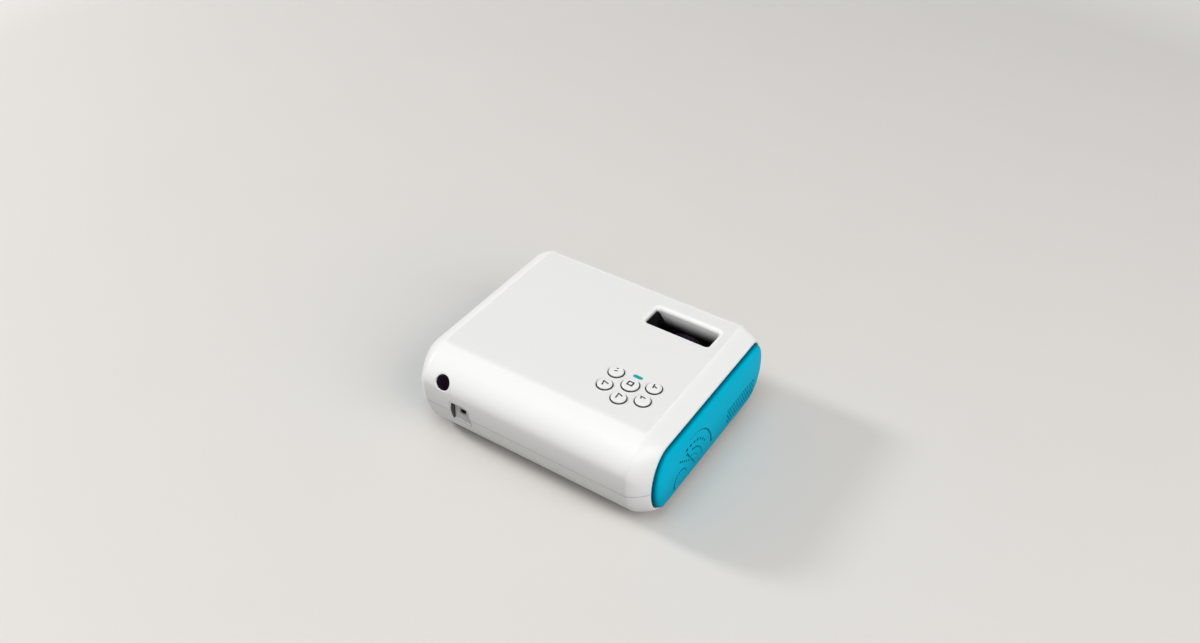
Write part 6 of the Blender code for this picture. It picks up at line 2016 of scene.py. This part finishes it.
@dataclass
class Underside:
    """Rubber feet, tilt foot, tripod insert and the four case screws."""

    posts: Profile
    feet: tuple[tuple[str, float, float], ...] = (
        ("foot_front_left", -0.070, -0.059), ("foot_front_right", 0.070, -0.059),
        ("foot_back_left", -0.070, 0.046), ("foot_back_right", 0.070, 0.046))
    tilt: Flat = (0.010, -0.0575)
    insert: Flat = (0.010, -0.0395)
    floor: float = FORM.stand
    under: float = -0.002
    post_names: tuple[str, ...] = ("front_left", "front_right", "back_left", "back_right")
    insert_seat: Profile = ((0.0049, 0.0118),)
    tilt_seat: Profile = ((0.0081, 0.0034), (0.0031, 0.025))
    screw_seat: Profile = ((0.003, 0.0078), (0.0017, 0.036))
    foot_seat: Flat = (0.0063, 0.0006)
    foot: Profile = ((0, FORM.stand + 0.0003), (0.006, FORM.stand + 0.0003), (0.006, 0.0),
                     (0.0036, 0.0), (0.0030, 0.0005), (0, 0.0005))
    foot_round: float = 0.0006
    insert_skin: Profile = ((0.0046, 0.009), (0.0046, 0.0002), (0.0044, 0.0), (0.0034, 0.0))
    insert_thread: Thread = (12, 0.00075, (0.0032, 0.0001), (0.00285, 0.00045))
    insert_end: Flat = (0.0032, 0.009)
    pad: Profile = ((0.0066, 0.0004), (0.0072, 0.0007), (0.0075, 0.0012), (0.0075, 0.0027),
                    (0.0072, 0.003))
    pad_dips: int = 12
    pad_dip: float = 0.0003
    stem_tip: Profile = ((0.0, 0.025), (0.0025, 0.025))
    stem_thread: Thread = (20, -0.001, (0.0028, 0.0245), (0.0026, 0.0240))
    stem_root: Profile = ((0.0028, 0.0045), (0.0028, 0.0025), (0.0, 0.0025))
    screw_low: float = 0.0057
    screw_tip: Profile = ((0.0, 0.0298), (0.0008, 0.0290))
    screw_thread: Thread = (26, -0.001, (0.0014, 0.0286), (0.0011, 0.0281))
    screw_head: Profile = ((0.0014, 0.0018), (0.0027, 0.0018), (0.0027, 0.0009),
                           (0.0024, 0.0003), (0.0016, 0.0), (0.0, 0.0))
    recess: Profile = ((0.0014, 0.00035), (0.005, 0.0068))

    def openings(self) -> list[Piece]:
        """Cutters of every seat in the floor.

        Returns:
            The cutters.
        """
        radius, rise = self.foot_seat
        seats = [(self.insert, self.insert_seat), (self.tilt, self.tilt_seat)]
        seats += [(place, self.screw_seat) for place in self.posts]
        seats += [((x, y), ((radius, self.floor + rise),)) for _, x, y in self.feet]
        return [self.stepped(place, steps) for place, steps in seats]

    def stepped(self, place: Flat, steps: Sequence[Flat]) -> Piece:
        """Cutter of a stepped bore from below.

        Args:
            place: Its middle.
            steps: Radius and upper end of each step.

        Returns:
            The cutter.
        """
        profile, level = [(0.0, self.under)], self.under
        for radius, high in steps:
            profile += [(radius, level), (radius, high)]
            level = high
        profile.append((0.0, level))
        return lathe("seat", profile, Axis.Z.at((*place, 0.0)), 48)

    def build(self) -> None:
        """Feet, tilt foot, insert and screws."""
        foot = softened(self.foot, self.foot_round, 4)
        for name, x, y in self.feet:
            issue(lathe(name + "_pad", foot, Axis.Z.at((x, y, 0.0))), RUBBER, name)
        self.build_tilt()
        insert = [*self.insert_skin, *thread(*self.insert_thread), self.insert_end]
        made = lathe("threaded_insert", insert, Axis.Z.at((*self.insert, self.floor)))
        issue(made, BRASS, "tripod_insert")
        for place, (x, y) in zip(self.post_names, self.posts):
            self.build_screw(place, x, y)

    def scallop(self, level: float, radius: float) -> list[Point]:
        """Ring of the tilt foot's pad, with shallow finger dips.

        Args:
            level: Its height.
            radius: Its radius.

        Returns:
            Its points.
        """
        points = []
        for u, v in round_outline(1.0, 72):
            swell = 0.5 + 0.5 * math.cos(self.pad_dips * math.atan2(v, u))
            reach = radius - self.pad_dip * swell ** 2
            points.append((reach * u, reach * v, level))
        return points

    def build_tilt(self) -> None:
        """Tilt foot with a scalloped pad and a threaded stem."""
        place = Axis.Z.at((*self.tilt, 0.0))
        pad = loft("tilt_pad", [self.scallop(level, radius) for radius, level in self.pad],
                   place=place)
        stem = [*self.stem_tip, *thread(*self.stem_thread), *self.stem_root]
        carve(pad, lathe("stem", stem, place, 48), "UNION")
        issue(pad, BLACK, "tilt_foot", body="tilt")

    def build_screw(self, place: str, x: float, y: float) -> None:
        """Case screw with a thread and a cross recess.

        Args:
            place: Its corner of the case.
            x: Its middle.
            y: Its middle.
        """
        profile = [*self.screw_tip, *thread(*self.screw_thread), *self.screw_head]
        screw = lathe("screw_" + place, profile, Axis.Z.at((x, y, self.screw_low)), 32)
        (long, short), (low, high) = self.recess
        arms = [box((x - u, y - v, low), (x + u, y + v, high))
                for u, v in ((long, short), (short, long))]
        carve(arms[0], arms[1], "UNION")
        carve(screw, arms[0])
        issue(screw, STEEL, "case_screw_" + place)


@dataclass(frozen=True)
class Lamp:
    """Round soft lamp that looks at the projector."""

    name: str
    way: Point
    far: float
    size: float
    level: float

    def build(self) -> None:
        """Hang the lamp, so strong that a white face turned to it shows its level."""
        light = bpy.data.lights.new(self.name, "AREA")
        light.shape = "DISK"
        light.size = self.size
        light.energy = self.level * (math.pi * self.far) ** 2
        lamp = bpy.data.objects.new(self.name, light)
        way = Vector(self.way).normalized()
        turn = way.to_track_quat("Z", "Y").to_matrix().to_4x4()
        lamp.matrix_world = Matrix.Translation(way * self.far) @ turn
        bpy.context.scene.collection.objects.link(lamp)


@dataclass
class Studio:
    """Pale floor, soft light and the camera."""

    eye: Point = (-0.331663, 0.518875, 0.587963)
    look: Point = (0.4110, -0.6577, -0.6313)
    roll: float = 0.0220607
    lens: float = 33.07
    lamps: tuple[Lamp, ...] = (Lamp("key", (0.84, 0.17, 0.515), 3.0, 0.5, 0.42),
                               Lamp("side", (-0.8, 0.2, 0.565), 2.6, 2.2, 0.5),
                               Lamp("top", (0.0, 0.3, 0.954), 2.6, 1.6, 0.3))
    fill: float = 0.27
    floor_colour: Point = (0.74, 0.715, 0.685)
    floor_dim: float = 0.38
    floor_cloud: float = 0.97
    floor_radius: float = 30.0
    fade_scale: float = 0.25
    fade_from: float = 0.76
    fade_rise: float = 2.2
    fade_glow: float = 0.9

    def build(self) -> None:
        """Set up everything round the projector."""
        self.build_floor()
        self.build_world()
        for lamp in self.lamps:
            lamp.build()
        self.build_camera()
        bpy.context.scene.view_settings.view_transform = "Standard"

    def build_floor(self) -> None:
        """Wide floor with a faint unevenness, which fades into the white surround far away."""
        builder = bmesh.new()
        builder.faces.new([builder.verts.new((x, y, -0.0001))
                           for x, y in round_outline(self.floor_radius)])
        floor = mesh("floor", builder)
        made = bpy.data.materials.new("floor_pale")
        made.use_nodes = True
        kit = Kit(made.node_tree)
        darker = tuple(part * self.floor_cloud for part in self.floor_colour)
        dim = tuple(part * self.floor_dim for part in self.floor_colour)
        seen = kit.mix(kit.noise(9.0, 6.0), (*darker, 1), (*self.floor_colour, 1))
        place = kit.vector("MULTIPLY", kit.own(), (self.fade_scale,) * 3)
        near = kit.add("TexGradient", gradient_type="SPHERICAL", Vector=place).outputs["Fac"]
        away = kit.math("MULTIPLY", kit.math("SUBTRACT", self.fade_from, near), self.fade_rise)
        away = kit.math("MINIMUM", kit.math("MAXIMUM", away, 0.0), 1.0)
        glow = kit.mix(kit.math("MULTIPLY", away, kit.looked_at()), (0.0, 0.0, 0.0, 1.0),
                       (*(self.fade_glow,) * 3, 1))
        kit.feed(Base_Color=kit.mix(kit.looked_at(), (*dim, 1), seen), Roughness=0.55,
                 Emission_Color=glow, Emission_Strength=1.0)
        floor.data.materials.append(made)

    def build_world(self) -> None:
        """Even white surround, at full strength where it is seen or mirrored."""
        world = bpy.data.worlds.new("surround")
        world.use_nodes = True
        bpy.context.scene.world = world
        kit = Kit(world.node_tree)
        seen = kit.looked_at()
        surround = world.node_tree.nodes["Background"]
        surround.inputs["Color"].default_value = (1, 1, 1, 1)
        kit.plug(kit.math("ADD", kit.math("MULTIPLY", seen, 1 - self.fill), self.fill),
                 surround.inputs["Strength"])

    def build_camera(self) -> None:
        """Camera at the photograph's viewing angle."""
        camera = bpy.data.cameras.new("camera")
        camera.lens = self.lens
        camera.sensor_width = 36.0
        camera.clip_start = 0.01
        eye = bpy.data.objects.new("camera", camera)
        ahead = Vector(self.look).normalized()
        right = ahead.cross(Vector((0, 0, 1))).normalized()
        rise = right.cross(ahead)
        turned = right * math.cos(self.roll) + rise * math.sin(self.roll)
        upright = rise * math.cos(self.roll) - right * math.sin(self.roll)
        eye.matrix_world = Matrix.Translation(self.eye) @ Matrix(
            (turned, upright, -ahead)).transposed().to_4x4()
        bpy.context.scene.collection.objects.link(eye)
        bpy.context.scene.camera = eye


def main() -> None:
    """Build the projector and its studio."""
    logging.basicConfig(level=logging.INFO, format="%(name)s: %(message)s")
    case, keypad, eye, inlet = Case(), Keypad(), InfraredEye(), PowerInlet()
    lens, ports = LensGroup(), Ports()
    underside = Underside(case.posts)
    case.build_upper([*keypad.openings(), *eye.openings(), *inlet.openings(), *lens.openings()])
    case.build_lower([*underside.openings(), *inlet.openings(), *lens.openings()])
    for side in Side:
        EndCover(side, skin=COVER_SKINS[side]).build(ports)
    keypad.build()
    eye.build()
    inlet.build()
    lens.build()
    ports.build()
    Speaker().build()
    Cooling().build()
    Engine().dress()
    underside.build()
    Studio().build()


if __name__ == "__main__":
    main()
